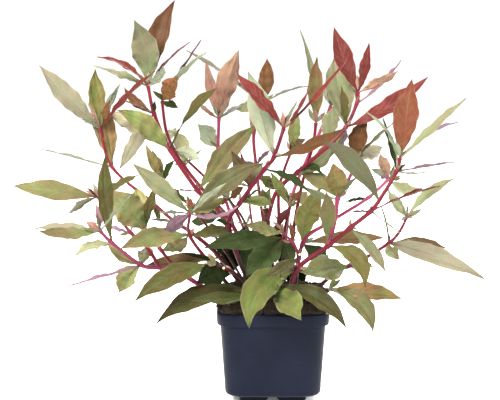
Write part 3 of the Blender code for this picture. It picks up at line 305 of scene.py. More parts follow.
        leaf(2, (333, 163, -50), 18.5, 0, 15, "bronze", 1.7),
        leaf(2, (358, 176, -62), 7.6, 0, 62, "sage", 0.8),
        leaf(5, (367, 119, -22), 16, 2, 15, "brown", 0.8),
        leaf(5, (382, 147, 8), 14.3, 0, 20, "taupe", 1.9), leaf(5, (394, 122, -4), 6.7, 0, 65, "sage", 1.6),
        leaf(2, (303, 186, -58), 7.6, 4, 40, "sage"), leaf(2, (301, 173, -14), 14.3, -3, 25, "olive", 1.5),
    ]),
    "stem_low_right": dict(thick=(3.2, 2.0), skin="crimson",
        path=[(304, 297, -10), (335, 273, -16), (349, 266, -19), (362, 260, -22),
              (389, 243, -28), (400, 231, -30), (407, 217, -32)],
        leaves=[
        leaf(4, (323, 141, -98), 16.8, -16, 15, "sage", 0.7, petiole=0.28, widest=1.5,
             crumple=0.012, node="leaf_right_long"),
        leaf(4, (488, 281, -72), 16.4, 4, 20, "taupe", widest=0.75, node="leaf_far_right"),
        leaf(4, (447, 248, 4), 10.9, 2, 25, "bronze"), leaf(6, (456, 178, -30), 9.2, 5, 25, "sage", 1.5),
        leaf(6, (387, 187, -44), 8.4, 3, 40, "sage", 1.4),
        leaf(6, (393, 192, -8), 5.9, 0, 50, "sage"), leaf(6, (401, 220, -42), 3.4, 0, 30, "pale"),
        leaf(6, (413, 218, -20), 3.4, 0, 30, "pale"),
        leaf(2, (301, 272, -98), 21.8, 0, 15, "green", 1.0, node="leaf_right_low"),
        leaf(3, (373, 268, -30), 4.2, 0, 30, "olive"), leaf(4, (400, 259, -66), 10.9, -3, 15, "olive", 1.1),
    ]),
    "stem_base_right": dict(thick=(3.4, 2.9), skin="crimson",
        path=[(306, 301, -26), (315, 297, -31), (328, 290, -38)],
        leaves=[
        leaf(2, (403, 299, -46), 15.1, 3, 15, "bronze", 1.6),
        leaf(2, (373, 333, -62), 16.8, 13, 20, "olive", 0.82, node="leaf_front_right_hanging"),
        leaf(1, (294, 286, -42), 10.9, 0, 15, "russet", 0.7),
    ]),
    "stem_base_front": dict(thick=(3.4, 2.9), skin="maroon",
        path=[(276, 304, -30), (276, 285, -46)],
        leaves=[
        leaf(1, (301, 320, -94), 21.8, 0, 15, "lime", 1.0, node="leaf_front_centre"),
        leaf(1, (347, 329, -88), 15.1, 11, 20, "moss", 0.5, node="leaf_front_right"),
    ]),
    "stem_base_left": dict(thick=(3.4, 2.7), skin="crimson", light=0.45, stubs=[(225, 269, -54)],
        path=[(258, 303, -28), (254, 295, -34), (251, 290, -38),
              (243, 281, -45), (232, 272, -50), (217, 265, -52)],
        leaves=[
        leaf(2, (156, 324, -70), 18.5, -11, 15, "moss", 0.6, node="leaf_front_left"),
        leaf(1, (191, 300, -98), 10.9, 1, 20, "lime", 0.62),
        leaf(5, (134, 302, -84), 17.6, -8, 15, "moss", 0.75, node="leaf_low_left_long"),
        leaf(4, (182, 253, -30), 5, -3, 40, "dark", 0.25),
        leaf(4, (197, 284, -66), 19.3, -3, 20, "dark", 0.4),
    ]),
}


# Small tools

def unit(v):
    return v / np.maximum(np.linalg.norm(v, axis=-1, keepdims=True), 1e-12)


def onSheet(point):
    # Eye plus the line of sight through the column and row, as far as the plane at that depth
    column, row, depth = point
    sight = (forward + rightward * (column - sheet["middle"][0]) / sheet["pitch"]
             + upward * (sheet["middle"][1] - row) / sheet["pitch"])
    return eye + sight * (depth * mm - eye[1]) / sight[1]


def bell(x, width):
    # exp(-(x / width)^2), one at x = 0
    return np.exp(-(x / width) ** 2)


def smoothPath(points, steps):
    # Catmull-Rom: through every point, each span the cubic
    # (2 b + (c - a) t + (2 a - 5 b + 4 c - d) t^2 + (3 b - a - 3 c + d) t^3) / 2
    p = np.vstack([2 * points[0] - points[1], points, 2 * points[-1] - points[-2]])[:, None]
    a, b, c, d = p[:-3], p[1:-2], p[2:-1], p[3:]
    t = np.linspace(0, 1, steps, endpoint=False)[None, :, None]
    spans = (2 * b + (c - a) * t + (2 * a - 5 * b + 4 * c - d) * t ** 2
             + (3 * b - a - 3 * c + d) * t ** 3) / 2
    return np.vstack([spans.reshape(-1, 3), points[-1:]])


def camelName(node):
    return "".join(word.capitalize() if i else word for i, word in enumerate(node.split("_")))


def turnMap(count):
    # Each step's low and high share of one turn
    low = np.arange(count) / count
    return np.stack([low, low + 1 / count], -1)


def tubeSkin(rings, along, across, material=0, tone=0.5):
    # A closed skin over rings (n, m, 3). along (n) and across (m, 2: its low and high side)
    # are the surface map; each end is closed by a fan to its ring's middle
    n, m = rings.shape[:2]
    i, j = np.meshgrid(np.arange(n - 1), np.arange(m), indexing="ij")
    k = (j + 1) % m
    quads = np.stack([i * m + j, i * m + k, (i + 1) * m + k, (i + 1) * m + j], -1).reshape(-1, 4)
    low = across[j, 0]
    high = across[j, 1]
    quadMap = np.stack([np.stack([along[i], low], -1), np.stack([along[i], high], -1),
                        np.stack([along[i + 1], high], -1), np.stack([along[i + 1], low], -1)],
                       -2).reshape(-1, 4, 2)
    points = [rings.reshape(-1, 3)]
    tris, triMap = [], []
    column = np.arange(m)
    for row in (0, n - 1):
        hub = np.full(m, n * m + len(tris))
        rim = [row * m + (column + 1) % m, row * m + column]
        rimMap = [across[:, 1], across[:, 0]]
        if row:
            rim.reverse()
            rimMap.reverse()
        tris.append(np.stack([hub, rim[0], rim[1]], -1))
        middle = np.stack([np.full(m, along[row]), across.mean(1)], -1)
        sides = [np.stack([np.full(m, along[row]), r], -1) for r in rimMap]
        triMap.append(np.stack([middle] + sides, -2))
        points.append(rings[row].mean(0)[None])
    return dict(points=np.vstack(points), quads=quads, quadMap=quadMap,
                tris=np.vstack(tris), triMap=np.vstack(triMap), material=material, tone=tone)


def outward(skin):
    # The volume under all faces, sum of a . (b x c) / 6, is positive when they point outwards
    p = skin["points"] - skin["points"].mean(0)
    q, t = skin["quads"], skin["tris"]
    corners = np.vstack([p[q[:, [0, 1, 2]]], p[q[:, [0, 2, 3]]], p[t]])
    volume = np.einsum("ij,ij->", corners[:, 0], np.cross(corners[:, 1], corners[:, 2]))
    if volume < 0:
        for key in ("quads", "quadMap", "tris", "triMap"):
            skin[key] = skin[key][:, ::-1]
    return skin


def makePiece(name, skins, materials, sharpest=50):
    # All the skins in one mesh, with the surface map and a tone for each skin
    skins = [outward(s) for s in skins]
    offsets = np.cumsum([0] + [len(s["points"]) for s in skins])
    quads = np.vstack([s["quads"] + o for s, o in zip(skins, offsets)])
    tris = np.vstack([s["tris"] + o for s, o in zip(skins, offsets)])
    points = np.vstack([s["points"] for s in skins])
    mesh = bpy.data.meshes.new(name)
    mesh.vertices.add(len(points))
    mesh.vertices.foreach_set("co", points.astype(np.float32).ravel())
    corners = np.concatenate([quads.ravel(), tris.ravel()])
    mesh.loops.add(len(corners))
    mesh.loops.foreach_set("vertex_index", corners.astype(np.int32))
    mesh.polygons.add(len(quads) + len(tris))
    starts = np.concatenate([np.arange(len(quads)) * 4, len(quads) * 4 + np.arange(len(tris)) * 3])
    mesh.polygons.foreach_set("loop_start", starts.astype(np.int32))
    mesh.polygons.foreach_set("material_index", np.concatenate(
        [np.full(len(s["quads"]), s["material"]) for s in skins]
        + [np.full(len(s["tris"]), s["material"]) for s in skins]).astype(np.int32))
    mesh.update(calc_edges=True)
    surface = mesh.uv_layers.new(name="surface")
    surface.data.foreach_set("uv", np.concatenate(
        [s["quadMap"].ravel() for s in skins] + [s["triMap"].ravel() for s in skins]).astype(np.float32))
    tone = mesh.attributes.new("tone", "FLOAT", "POINT")
    tone.data.foreach_set("value", np.concatenate(
        [np.broadcast_to(s["tone"], len(s["points"])) for s in skins]).astype(np.float32))
    for material in materials:
        mesh.materials.append(material)
    mesh.shade_smooth()
    mesh.set_sharp_from_angle(angle=np.radians(sharpest))
    piece = bpy.data.objects.new(name, mesh)
    bpy.context.scene.collection.objects.link(piece)
    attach(piece, "root")
    return piece


# Materials: each call adds one node to the material's tree and returns its output

def newMaterial(name, roughness, **shader):
    material = bpy.data.materials.new(name)
    material.use_nodes = True
    tree = material.node_tree
    tree.nodes["Principled BSDF"].inputs["Roughness"].default_value = roughness
    for socket, value in shader.items():
        tree.nodes["Principled BSDF"].inputs[socket.replace("_", " ")].default_value = value
    return material, tree


def feed(tree, socket, value):
    if isinstance(value, bpy.types.NodeSocket):
        tree.links.new(value, socket)
    elif socket.type == "RGBA":
        socket.default_value = (*value, 1)
    else:
        socket.default_value = value


def addNode(tree, kind, settings=None, output=0, sockets=(), **inputs):
    node = tree.nodes.new("ShaderNode" + kind)
    for key, value in (settings or {}).items():
        setattr(node, key, value)
    for place, value in enumerate(sockets):
        feed(tree, node.inputs[place], value)
    for key, value in inputs.items():
        feed(tree, node.inputs[key.replace("_", " ")], value)
    return node.outputs[output]


def calc(operation, a, b=0.0):
    # The node goes into the tree that the socket a is in
    return addNode(a.id_data, "Math", dict(operation=operation), sockets=(a, b))


def times(a, b):
    return calc("MULTIPLY", a, b)


def plus(a, b):
    return calc("ADD", a, b)


def minus(a, b):
    return calc("SUBTRACT", a, b)


def ramp(value, low, high, start=0.0, end=1.0):
    # A smooth step from start to end while the value goes from low to high
    return addNode(value.id_data, "MapRange", dict(interpolation_type="SMOOTHSTEP"), Value=value,
                   From_Min=low, From_Max=high, To_Min=start, To_Max=end)


def mixColour(share, a, b):
    node = share.id_data.nodes.new("ShaderNodeMix")
    node.data_type = "RGBA"
    for place, value in ((0, share), (6, a), (7, b)):
        feed(share.id_data, node.inputs[place], value)
    return node.outputs[2]


def coat(colour, *layers):
    # Each layer's paint goes over the colour by its mask times its share
    for mask, share, paint in layers:
        colour = mixColour(times(mask, share), colour, paint)
    return colour


def noise(tree, scale, detail=3.0, roughness=0.5, stretch=None):
    place = addNode(tree, "TexCoord", output=3)
    if stretch:
        place = addNode(tree, "Mapping", Vector=place, Scale=stretch)
    return addNode(tree, "TexNoise", Vector=place, Scale=scale, Detail=detail, Roughness=roughness)


def surfaceMap(tree):
    # The piece's own map, as its two directions
    split = addNode(tree, "SeparateXYZ", Vector=addNode(tree, "UVMap", dict(uv_map="surface"))).node
    return split.outputs[0], split.outputs[1]


def finishMaterial(tree, colour, height, deep, strength, roughness=None):
    shader = tree.nodes["Principled BSDF"]
    tree.links.new(colour, shader.inputs["Base Color"])
    if roughness is not None:
        tree.links.new(roughness, shader.inputs["Roughness"])
    bump = addNode(tree, "Bump", Height=height, Distance=deep, Strength=strength)
    tree.links.new(bump, shader.inputs["Normal"])


# What a leaf of each hue looks like: its upper face, the flush that spreads over it, its
# veins, and its under face
leafHues = {hue: dict(zip(("top", "flush", "vein", "under"), colours)) for hue, *colours in (
    ("olive", (0.221, 0.280, 0.088), (0.291, 0.184, 0.088), (0.376, 0.374, 0.190), (0.395, 0.321, 0.210)),
    ("moss", (0.131, 0.177, 0.039), (0.199, 0.120, 0.042), (0.291, 0.300, 0.113), (0.320, 0.268, 0.160)),
    ("green", (0.197, 0.276, 0.074), (0.268, 0.198, 0.076), (0.353, 0.385, 0.167), (0.404, 0.364, 0.225)),
    # dark: mostly painted shade, a near-black green for leaves that fill the shade deep in the plant
    ("dark", (0.046, 0.076, 0.022), (0.053, 0.062, 0.025), (0.085, 0.120, 0.058), (0.132, 0.135, 0.108)),
    ("lime", (0.192, 0.283, 0.059), (0.240, 0.217, 0.067), (0.360, 0.369, 0.162), (0.360, 0.344, 0.218)),
    ("sage", (0.285, 0.340, 0.153), (0.347, 0.280, 0.160), (0.409, 0.440, 0.281), (0.401, 0.370, 0.272)),
    ("taupe", (0.340, 0.336, 0.203), (0.381, 0.304, 0.203), (0.494, 0.441, 0.321), (0.474, 0.420, 0.321)),
    ("bronze", (0.200, 0.181, 0.055), (0.268, 0.111, 0.057), (0.378, 0.292, 0.138), (0.378, 0.269, 0.200)),
    ("brown", (0.190, 0.103, 0.029), (0.228, 0.071, 0.026), (0.342, 0.189, 0.104), (0.399, 0.242, 0.208)),
    ("russet", (0.064, 0.058, 0.018), (0.090, 0.048, 0.020), (0.190, 0.110, 0.050), (0.220, 0.130, 0.090)),
    ("orange", (0.329, 0.118, 0.045), (0.310, 0.067, 0.037), (0.470, 0.246, 0.138), (0.470, 0.291, 0.225)),
    ("red", (0.196, 0.041, 0.028), (0.201, 0.027, 0.024), (0.392, 0.162, 0.127), (0.431, 0.194, 0.161)),
    ("maroon", (0.100, 0.018, 0.018), (0.140, 0.015, 0.022), (0.260, 0.065, 0.060), (0.300, 0.110, 0.110)),
    ("coral", (0.414, 0.248, 0.121), (0.506, 0.153, 0.121), (0.644, 0.319, 0.243), (0.575, 0.342, 0.243)),
    ("rose", (0.371, 0.248, 0.110), (0.445, 0.177, 0.130), (0.615, 0.378, 0.260), (0.530, 0.330, 0.210)),
    ("mauve", (0.234, 0.162, 0.130), (0.297, 0.111, 0.140), (0.450, 0.221, 0.280), (0.396, 0.246, 0.300)),
    ("pale", (0.301, 0.364, 0.198), (0.361, 0.330, 0.206), (0.482, 0.524, 0.344), (0.378, 0.441, 0.288)),
)}
leafHues["dark"]["gloss"] = 0.0          # the dark ones, mostly painted shade, reflect nothing so they stay as dark as shade
showsUnderside = {"coral", "rose", "mauve", "pale"}     # these turn their under face to the eye
leafLooks = dict(
    veinPairs=9,
    veinSlant=1.9,                   # how far the side veins lean towards the tip
    veinShare=0.38,                  # how far the side veins differ from the blade
    stalk=(0.190, 0.020, 0.045),
    shade=0.300,                     # brightness of all the leaves
    net=380.0,                       # cells of the fine net of veins, in each metre
    netShare=0.30,
    gloss=0.07,                      # strength of the reflections
)
veinPairs, veinSlant = leafLooks["veinPairs"], leafLooks["veinSlant"]


def makeLeafMaterial(hue, looks):
    # Map: x runs from stalk to tip; y is 0 to 1 across the upper face, 2 to 3 across the under
    gloss = looks.get("gloss", leafLooks["gloss"])
    material, tree = newMaterial(hue + "Leaf", 0.5, Specular_IOR_Level=gloss)
    along, across = surfaceMap(tree)
    under = calc("GREATER_THAN", across, 1.5)
    side = minus(across, times(under, 2.0))
    offset = calc("ABSOLUTE", minus(times(side, 2.0), 1.0))
    tone = addNode(tree, "Attribute", dict(attribute_name="tone"), output=2)
    patches = noise(tree, 55.0, 2.5)
    fine = noise(tree, 520.0, 3.0, 0.6)

    # Pinnate veins: lines where sin(2 pi (pairs x - slant |y|)) is near one
    bent = minus(times(along, float(veinPairs)),
                times(offset, veinSlant))
    bent = plus(bent, times(patches, 0.5))
    veins = ramp(calc("SINE", times(bent, 2 * np.pi)), 0.80, 1.0)
    veins = times(veins, ramp(offset, 1.0, 0.45))
    midrib = ramp(offset, 0.075, 0.02)
    place = addNode(tree, "TexCoord", output=3)
    net = addNode(tree, "TexVoronoi", dict(feature="DISTANCE_TO_EDGE"), Vector=place,
                  Scale=leafLooks["net"])
    net = times(ramp(net, 0.16, 0.02), ramp(fine, 0.35, 0.6))
    near = plus(along, times(offset, 0.08))
    stalk = ramp(near, 0.17, 0.03)

    # The flush gathers in patches, at the tip and along the margin
    rim = times(calc("POWER", offset, 2.0), 0.18)
    gather = plus(plus(patches, times(along, 0.25)), rim)
    flush = times(ramp(gather, 0.46, 0.84), 0.70)
    mottle = times(ramp(noise(tree, 190.0, 5.0, 0.65), 0.48, 0.70), 0.24)
    upper = mixColour(mottle, mixColour(flush, looks["top"], looks["flush"]), looks["vein"])
    upper = coat(upper, (veins, leafLooks["veinShare"], looks["vein"]),
                 (net, leafLooks["netShare"], looks["flush"]))
    rosy = tuple(0.5 * a + 0.5 * b for a, b in zip(looks["under"], looks["flush"]))
    fading = minus(patches, times(along, 0.35))
    lower = mixColour(ramp(fading, 0.20, 0.50), looks["under"], rosy)
    lower = coat(lower, (veins, leafLooks["veinShare"] * 1.3, looks["vein"]),
                 (net, leafLooks["netShare"], looks["flush"]))
    colour = mixColour(under, upper, lower)
    rib = mixColour(ramp(along, 0.20, 0.75), leafLooks["stalk"], looks["vein"])
    colour = coat(colour, (ramp(offset, 0.88, 0.97), 0.55, looks["vein"]), (midrib, 0.45, rib),
                  (stalk, 0.8, leafLooks["stalk"]))
    # The tone attribute brings each leaf's painted light and shade (its light number and its drift); the
    # fine noise adds grain
    grain = plus(tone, times(minus(fine, 0.5), 0.30))
    colour = addNode(tree, "HueSaturation", Value=times(grain, leafLooks["shade"]), Color=colour)
    relief = plus(times(veins, -0.7), times(fine, 0.5))
    finishMaterial(tree, colour, relief, 0.0005, 0.45, ramp(fine, 0.3, 0.7, 0.46, 0.58))
    return material


stemSkins = {
    "crimson": dict(young=(0.092, 0.0080, 0.0140), old=(0.034, 0.003, 0.005)),
    "pink": dict(young=(0.150, 0.0230, 0.050), old=(0.080, 0.006, 0.012)),
    "maroon": dict(young=(0.056, 0.0025, 0.009), old=(0.010, 0.0015, 0.003)),
    "dusty": dict(young=(0.110, 0.024, 0.030), old=(0.060, 0.014, 0.015)),
    "brown": dict(young=(0.050, 0.018, 0.010), old=(0.022, 0.009, 0.005)),
}


def makeStemMaterial(skin, looks):
    # Map: x is metres from the stem's start, y runs once around
    material, tree = newMaterial(skin + "Stem", 0.30, Specular_IOR_Level=0.09)
    along, around = surfaceMap(tree)
    patches = noise(tree, 90.0, 3.0)
    lines = addNode(tree, "CombineXYZ", X=times(along, 60.0),
                    Y=times(around, 9.0))
    streaks = addNode(tree, "TexNoise", Vector=lines, Scale=1.0, Detail=3.0)
    drift = times(minus(patches, 0.5), 0.08)
    age = ramp(plus(along, drift), 0.125, 0.0)
    colour = mixColour(age, looks["young"], looks["old"])
    pale = tuple(c * 1.4 + 0.01 for c in looks["young"])
    colour = coat(colour, (ramp(streaks, 0.52, 0.75), 0.5, pale))
    # Darker towards the foot: partly old bark, partly painted shade of the plant's dense core
    barkAndCoreShade = ramp(plus(along, times(drift, 0.4)), 0.062, 0.030, 0.0, 0.9)
    colour = mixColour(barkAndCoreShade, colour, (0.016, 0.009, 0.006))
    colour = coat(colour, (ramp(patches, 0.6, 0.8), 0.20, (0.080, 0.055, 0.022)))
    # The tone attribute carries the stem's light number: painted light and shade
    tone = addNode(tree, "Attribute", dict(attribute_name="tone"), output=2)
    colour = addNode(tree, "HueSaturation", Value=tone, Color=colour)
    finishMaterial(tree, colour, streaks, 0.0003, 0.35)
    return material


def makeCutMaterial():
    material, tree = newMaterial("cutStem", 0.5)
    patches = noise(tree, 900.0, 3.0)
    colour = mixColour(ramp(patches, 0.35, 0.7), (0.560, 0.560, 0.250), (0.420, 0.330, 0.130))
    finishMaterial(tree, colour, patches, 0.0003, 0.4)
    return material


# Leaves

bladeLooks = dict(
    light=1.0,               # brightness of this leaf, partly its own colour, partly painted light and shade
    petiole=0.0,             # share of its length that is bare stalk
    widest=1.1,              # more than 1 moves its widest place towards the tip
    wave=0.075,              # height of the margin's waves, as a share of the width
    waves=2.6,               # how many along the blade
    ripple=0.042,            # the same for the short ripples of the margin
    ripples=5.5,
    notch=0.034,             # how much the ripples change the width
    cupping=0.28,            # rise of the margins, as a share of the half width
    crumple=0.034,           # height of the blade's soft folds, as a share of the width
    twist=0.35,              # radians from stalk to tip, either way
    thick=0.35 * mm,
    stalk=1.7 * mm,          # width of the stalk
    quilting=0.16 * mm,      # height of the blade between its side veins
)


def bladeSkin(start, tip, spec, rng, steps=44, columns=15):
    # Middle line: start + (tip - start) u, bowed across the sheet by bow 4 u (1 - u), leaning
    # off the upright plane as u^1.25. Surface: middle + side v h(u) + normal (cup |v|^1.1
    # + waves |v|^2 sin + ripples |v|^4 sin + folds sin sin + relief), with h(u) half the width,
    # sin(pi w^widest)^1.15, where w is u past the bare stalk
    looks = {**bladeLooks, **spec}
    u = np.linspace(0, 1, steps)
    sight = unit((start + tip) / 2 - eye)
    reach = tip - start
    across = np.cross(unit(reach - sight * (reach @ sight)), sight)
    bow = across * spec["bow"] * np.linalg.norm((start + tip) / 2 - eye) / sheet["pitch"]
    lean = (tip[1] - start[1]) * (u ** 1.25 - u)
    middle = (start + reach * u[:, None] + bow * (4 * u * (1 - u))[:, None]
              + sight * (lean / sight[1])[:, None])
    tangent = unit(np.gradient(middle, u, axis=0))
    side = unit(np.cross(tangent, sight))
    face = np.cross(side, tangent)
    face *= -np.sign(face @ sight)[:, None]
    under = spec["hue"] in showsUnderside
    lift = -1 if (side[0, 2] > 0) != under else 1
    turn = (spec["turn"] + looks["twist"] * rng.uniform(-1, 1) * (u - 0.4))[:, None] * lift
    turned = side * np.cos(turn) + face * np.sin(turn)
    normal = (face * np.cos(turn) - side * np.sin(turn)) * (-1 if under else 1)

    grown = np.clip((u - looks["petiole"]) / (1 - looks["petiole"]), 0, 1)
    half = spec["wide"] / 2 * np.sin(np.pi * grown ** looks["widest"]) ** 1.15
    half *= 1 + looks["notch"] * np.sin(2 * np.pi * (looks["ripples"] * u + rng.uniform()))
    half = np.maximum(half, looks["stalk"] / 2 * np.where(u < 0.3, 1, 0.05))[:, None]
    v = np.linspace(-1, 1, columns)[None]
    blade = np.clip((u - 0.08) / 0.2, 0, 1)[:, None]
    rhythm = 2 * np.pi * (looks["waves"] * u[:, None] + np.where(v < 0, rng.uniform(), rng.uniform()))
    hump = np.abs(v) ** 2 * spec["wide"] * looks["wave"] * np.sin(np.pi * u[:, None]) ** 0.6
    rise = half * looks["cupping"] * np.abs(v) ** 1.1 + hump * (np.sin(rhythm) + 0.4 * np.sin(2.3 * rhythm))
    quick = looks["ripples"] / looks["waves"] * rhythm
    rise += half * 2 * looks["ripple"] * np.abs(v) ** 4 * np.sin(quick + 0.8 * np.sin(rhythm))
    veins = np.cos(2 * np.pi * (veinPairs * u[:, None] - veinSlant * np.abs(v)) + np.where(v < 0, 0.6, 0))
    folds = 2 * np.pi * rng.uniform(size=2)
    rise += (looks["crumple"] * spec["wide"] * np.sin(2 * np.pi * (1.7 * u[:, None] + 0.8 * v) + folds[0])
             * np.sin(2 * np.pi * (2.9 * u[:, None] - 0.6 * v) + folds[1]))
    rise = (rise + looks["quilting"] * veins * (1 - v ** 2) * np.abs(v) ** 0.5) * blade
    fromRib = v * half
    core = looks["stalk"] * 0.42 * (1 - 0.85 * u[:, None]) * bell(fromRib, 0.75 * mm)
    sheetThick = looks["thick"] / 2 * (1 - v ** 6)
    groove = 0.30 * mm * bell(fromRib, 0.55 * mm) * blade * (1 - u[:, None])
    top = rise + sheetThick + core * (1 - 0.7 * blade) - groove
    bottom = rise - sheetThick - core
    surface = middle[:, None] + turned[:, None] * (v * half)[..., None]
    upperFace = surface + normal[:, None] * top[..., None]
    underFace = surface + normal[:, None] * bottom[..., None]
    rings = np.concatenate([upperFace, underFace[:, -2:0:-1]], axis=1)
    share = (v[0] + 1) / 2
    back = 2 + share[::-1]
    acrossMap = np.concatenate([np.stack([share[:-1], share[1:]], -1), np.stack([back[:-1], back[1:]], -1)])
    skin = tubeSkin(rings, u, acrossMap)
    # The tone drifts at random along the blade and from one half to the other, painted light
    # and shade as over a folded blade, and is scaled by the leaf's light number
    drift = 1 + rng.uniform(-0.22, 0.22) * (u[:, None] - 0.5) * 2 + rng.uniform(-0.14, 0.14) * v
    drift = drift * looks["light"] * rng.uniform(0.92, 1.08)
    drift = np.concatenate([drift, drift[:, -2:0:-1]], axis=1).ravel()
    skin["tone"] = np.concatenate([drift, [drift[0], drift[-1]]])
    return skin


budLooks = dict(
    tip=(8 * mm, 15 * mm),   # length of the young leaves at a stem's end
    tips=5,
    tipSpread=0.7,           # how far they lean from the stem, as a share of their length
    axil=(5 * mm, 11 * mm),  # the same in the angles of older leaves
    axils=2,
    axilSpread=1.1,
    slender=0.28,            # width, as a share of the length
    hues=("rose", "sage", "olive", "coral", "green", "pale"),
)


def budSkins(base, heading, sizes, count, spread, rng):
    # Small blades fanned at even turns about the heading: each along heading + spread side
    flank = unit(np.cross(heading, rightward + 0.3 * upward))
    skins = []
    for turn in rng.uniform(0, 2 * np.pi) + np.arange(count) * 2 * np.pi / count:
        side = flank * np.cos(turn) + np.cross(heading, flank) * np.sin(turn)
        length = rng.uniform(*sizes)
        spec = dict(hue=budLooks["hues"][rng.integers(len(budLooks["hues"]))], bow=rng.uniform(-1, 1),
                    wide=length * budLooks["slender"], turn=rng.uniform(0, 1.0), stalk=0.7 * mm,
                    thick=0.3 * mm, quilting=0)
        tip = base + unit(heading + spread * rng.uniform(0.6, 1.3) * side) * length
        skin = bladeSkin(base, tip, spec, rng, steps=12, columns=7)
        skin["material"] = list(leafHues).index(spec["hue"])
        skins.append(skin)
    return skins


# Stems

stemLooks = dict(
    sides=12,
    stout=1.12,              # how much thicker all stems are than their stated widths
    spanSteps=9,             # rings between two points of the path
    swelling=0.38,           # how much thicker a stem is at its nodes
    nodeLength=2.6 * mm,
    ribs=0.035,              # depth of the five shallow ribs along it
    buried=7 * mm,           # how far it goes down into the soil
    forkFresh=0.15,          # metres of old bark and painted foot shade that a forked stem lacks
    stub=((0, 1.6), (1.2, 1.2), (2.8, 1.15), (3.1, 1.0)),     # mm along and radius in mm
    stubFace=((3.12, 1.0), (3.3, 0.7)),
    stubSides=10,
)


def stemRings(points, thick, used):
    # Rings across the smooth path: radius r (1 + swelling bell + ribs cos 5a) about it
    looks = stemLooks
    path = smoothPath(points, looks["spanSteps"])
    knots = np.arange(len(points)) * looks["spanSteps"]
    run = np.concatenate([[0], np.cumsum(np.linalg.norm(np.diff(path, axis=0), axis=1))])
    width = np.interp(np.arange(len(path)), knots, np.linspace(*thick, len(points)))
    radius = width * looks["stout"] * mm / 2
    near = np.abs(run[:, None] - run[knots[sorted(used)]][None])
    radius *= 1 + looks["swelling"] * bell(near, looks["nodeLength"]).max(1)
    tangent = unit(np.gradient(path, run, axis=0))
    side = unit(np.cross(tangent, [0.12, 1.0, 0.05]))
    other = np.cross(tangent, side)
    angle = np.arange(looks["sides"]) * 2 * np.pi / looks["sides"]
    ribbed = radius[:, None] * (1 + looks["ribs"] * np.cos(5 * angle))
    rings = (path[:, None] + side[:, None] * (ribbed * np.cos(angle))[..., None]
             + other[:, None] * (ribbed * np.sin(angle))[..., None])
    return rings, run, path, tangent


def stubSkins(place, light, rng):
    # A trimmed side shoot: rings along a short line that leans to the eye, and a pale cut face
    heading = unit(upward * 0.5 - forward + rng.normal(size=3) * 0.4)
    side = unit(np.cross(heading, upward))
    count = stemLooks["stubSides"]
    angle = np.arange(count) * 2 * np.pi / count
    circle = side * np.cos(angle)[:, None] + np.cross(heading, side) * np.sin(angle)[:, None]
    rings, face = ([place + heading * far * mm + circle * wide * mm for far, wide in stemLooks[key]]
                   for key in ("stub", "stubFace"))
    return [tubeSkin(np.stack(rings), np.full(4, 0.3), turnMap(count), tone=light),
            tubeSkin(np.stack(face), np.zeros(2), turnMap(count), material=1)]


def growPlant():
    grown = {}
    leafMaterials = {hue: makeLeafMaterial(hue, looks) for hue, looks in leafHues.items()}
    stemMaterials = {skin: makeStemMaterial(skin, looks) for skin, looks in stemSkins.items()}
    cutMaterial = makeCutMaterial()
    hues = list(leafHues)
    for number, (node, spec) in enumerate(plant.items()):
        rng = np.random.default_rng(100 + number)
        points = np.array([onSheet(p) for p in spec["path"]])
        if "fork" in spec:
            points[0] = grown[spec["fork"][0]][spec["fork"][1]]
        else:
            points[0, 2] = soilDome(*points[0, :2]) - stemLooks["buried"]
        grown[node] = points
        used = {blade["at"] for blade in spec["leaves"]} | {len(points) - 1}
        rings, run, path, tangent = stemRings(points, spec["thick"], used)
        aroundMap = turnMap(stemLooks["sides"])
        name = camelName(node)
        light = spec.get("light", 1.0)                  # brightness of this stem, painted light and shade: below one where it lies in shade
        forked = stemLooks["forkFresh"] if "fork" in spec else 0
        fresh = spec.get("fresh", forked)               # metres of old bark and painted foot shade it lacks
        skins = [tubeSkin(rings, run + fresh, aroundMap, tone=light)]
        if spec.get("cut"):
            face = rings[-1] + tangent[-1] * 0.2 * mm
            hub = face.mean(0)
            disc = np.stack([rings[-1] + (hub - rings[-1]) * 0.12, face + (hub - face) * 0.2])
            skins.append(tubeSkin(disc, np.zeros(2), aroundMap, material=1))
        for spot in spec.get("stubs", ()):
            skins += stubSkins(onSheet(spot), light, rng)
        stem = makePiece(name, skins, [stemMaterials[spec["skin"]], cutMaterial], 60)
        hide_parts(node)

        small = []
        for blade in spec["leaves"]:
            skin = bladeSkin(points[blade["at"]], onSheet(blade["tip"]), blade, rng)
            if blade["node"] is None:
                skin["material"] = hues.index(blade["hue"])
                small.append(skin)
                continue
            piece = makePiece(camelName(blade["node"]), [skin], [leafMaterials[blade["hue"]]])
            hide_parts(blade["node"])
        if not spec.get("cut"):
            small += budSkins(path[-1], tangent[-1], budLooks["tip"], budLooks["tips"],
                              budLooks["tipSpread"], rng)
        for at in sorted(used - {0, len(points) - 1}):
            along = tangent[at * stemLooks["spanSteps"]]
            small += budSkins(points[at], along, budLooks["axil"], budLooks["axils"],
                              budLooks["axilSpread"], rng)
        if small:
            shown = sorted({skin["material"] for skin in small})
            for skin in small:
                skin["material"] = shown.index(skin["material"])
            leaves = makePiece(name.replace("stem", "leaves"), small,
                               [leafMaterials[hues[i]] for i in shown])
            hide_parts(node)


# The pot

potLooks = dict(
    rim=93.5 * mm, height=78 * mm, rimDepth=10.3 * mm, wallTop=87.5 * mm, wallBottom=79.7 * mm,
    wall=1.6 * mm, mouth=89.5 * mm, corner=15 * mm, belly=3 * mm,
    foot=56.5 * mm, footCorner=8 * mm, footHeight=7 * mm, notchWidth=9 * mm, notchDepth=4 * mm,
    cornerSteps=12, sideSteps=12,
)


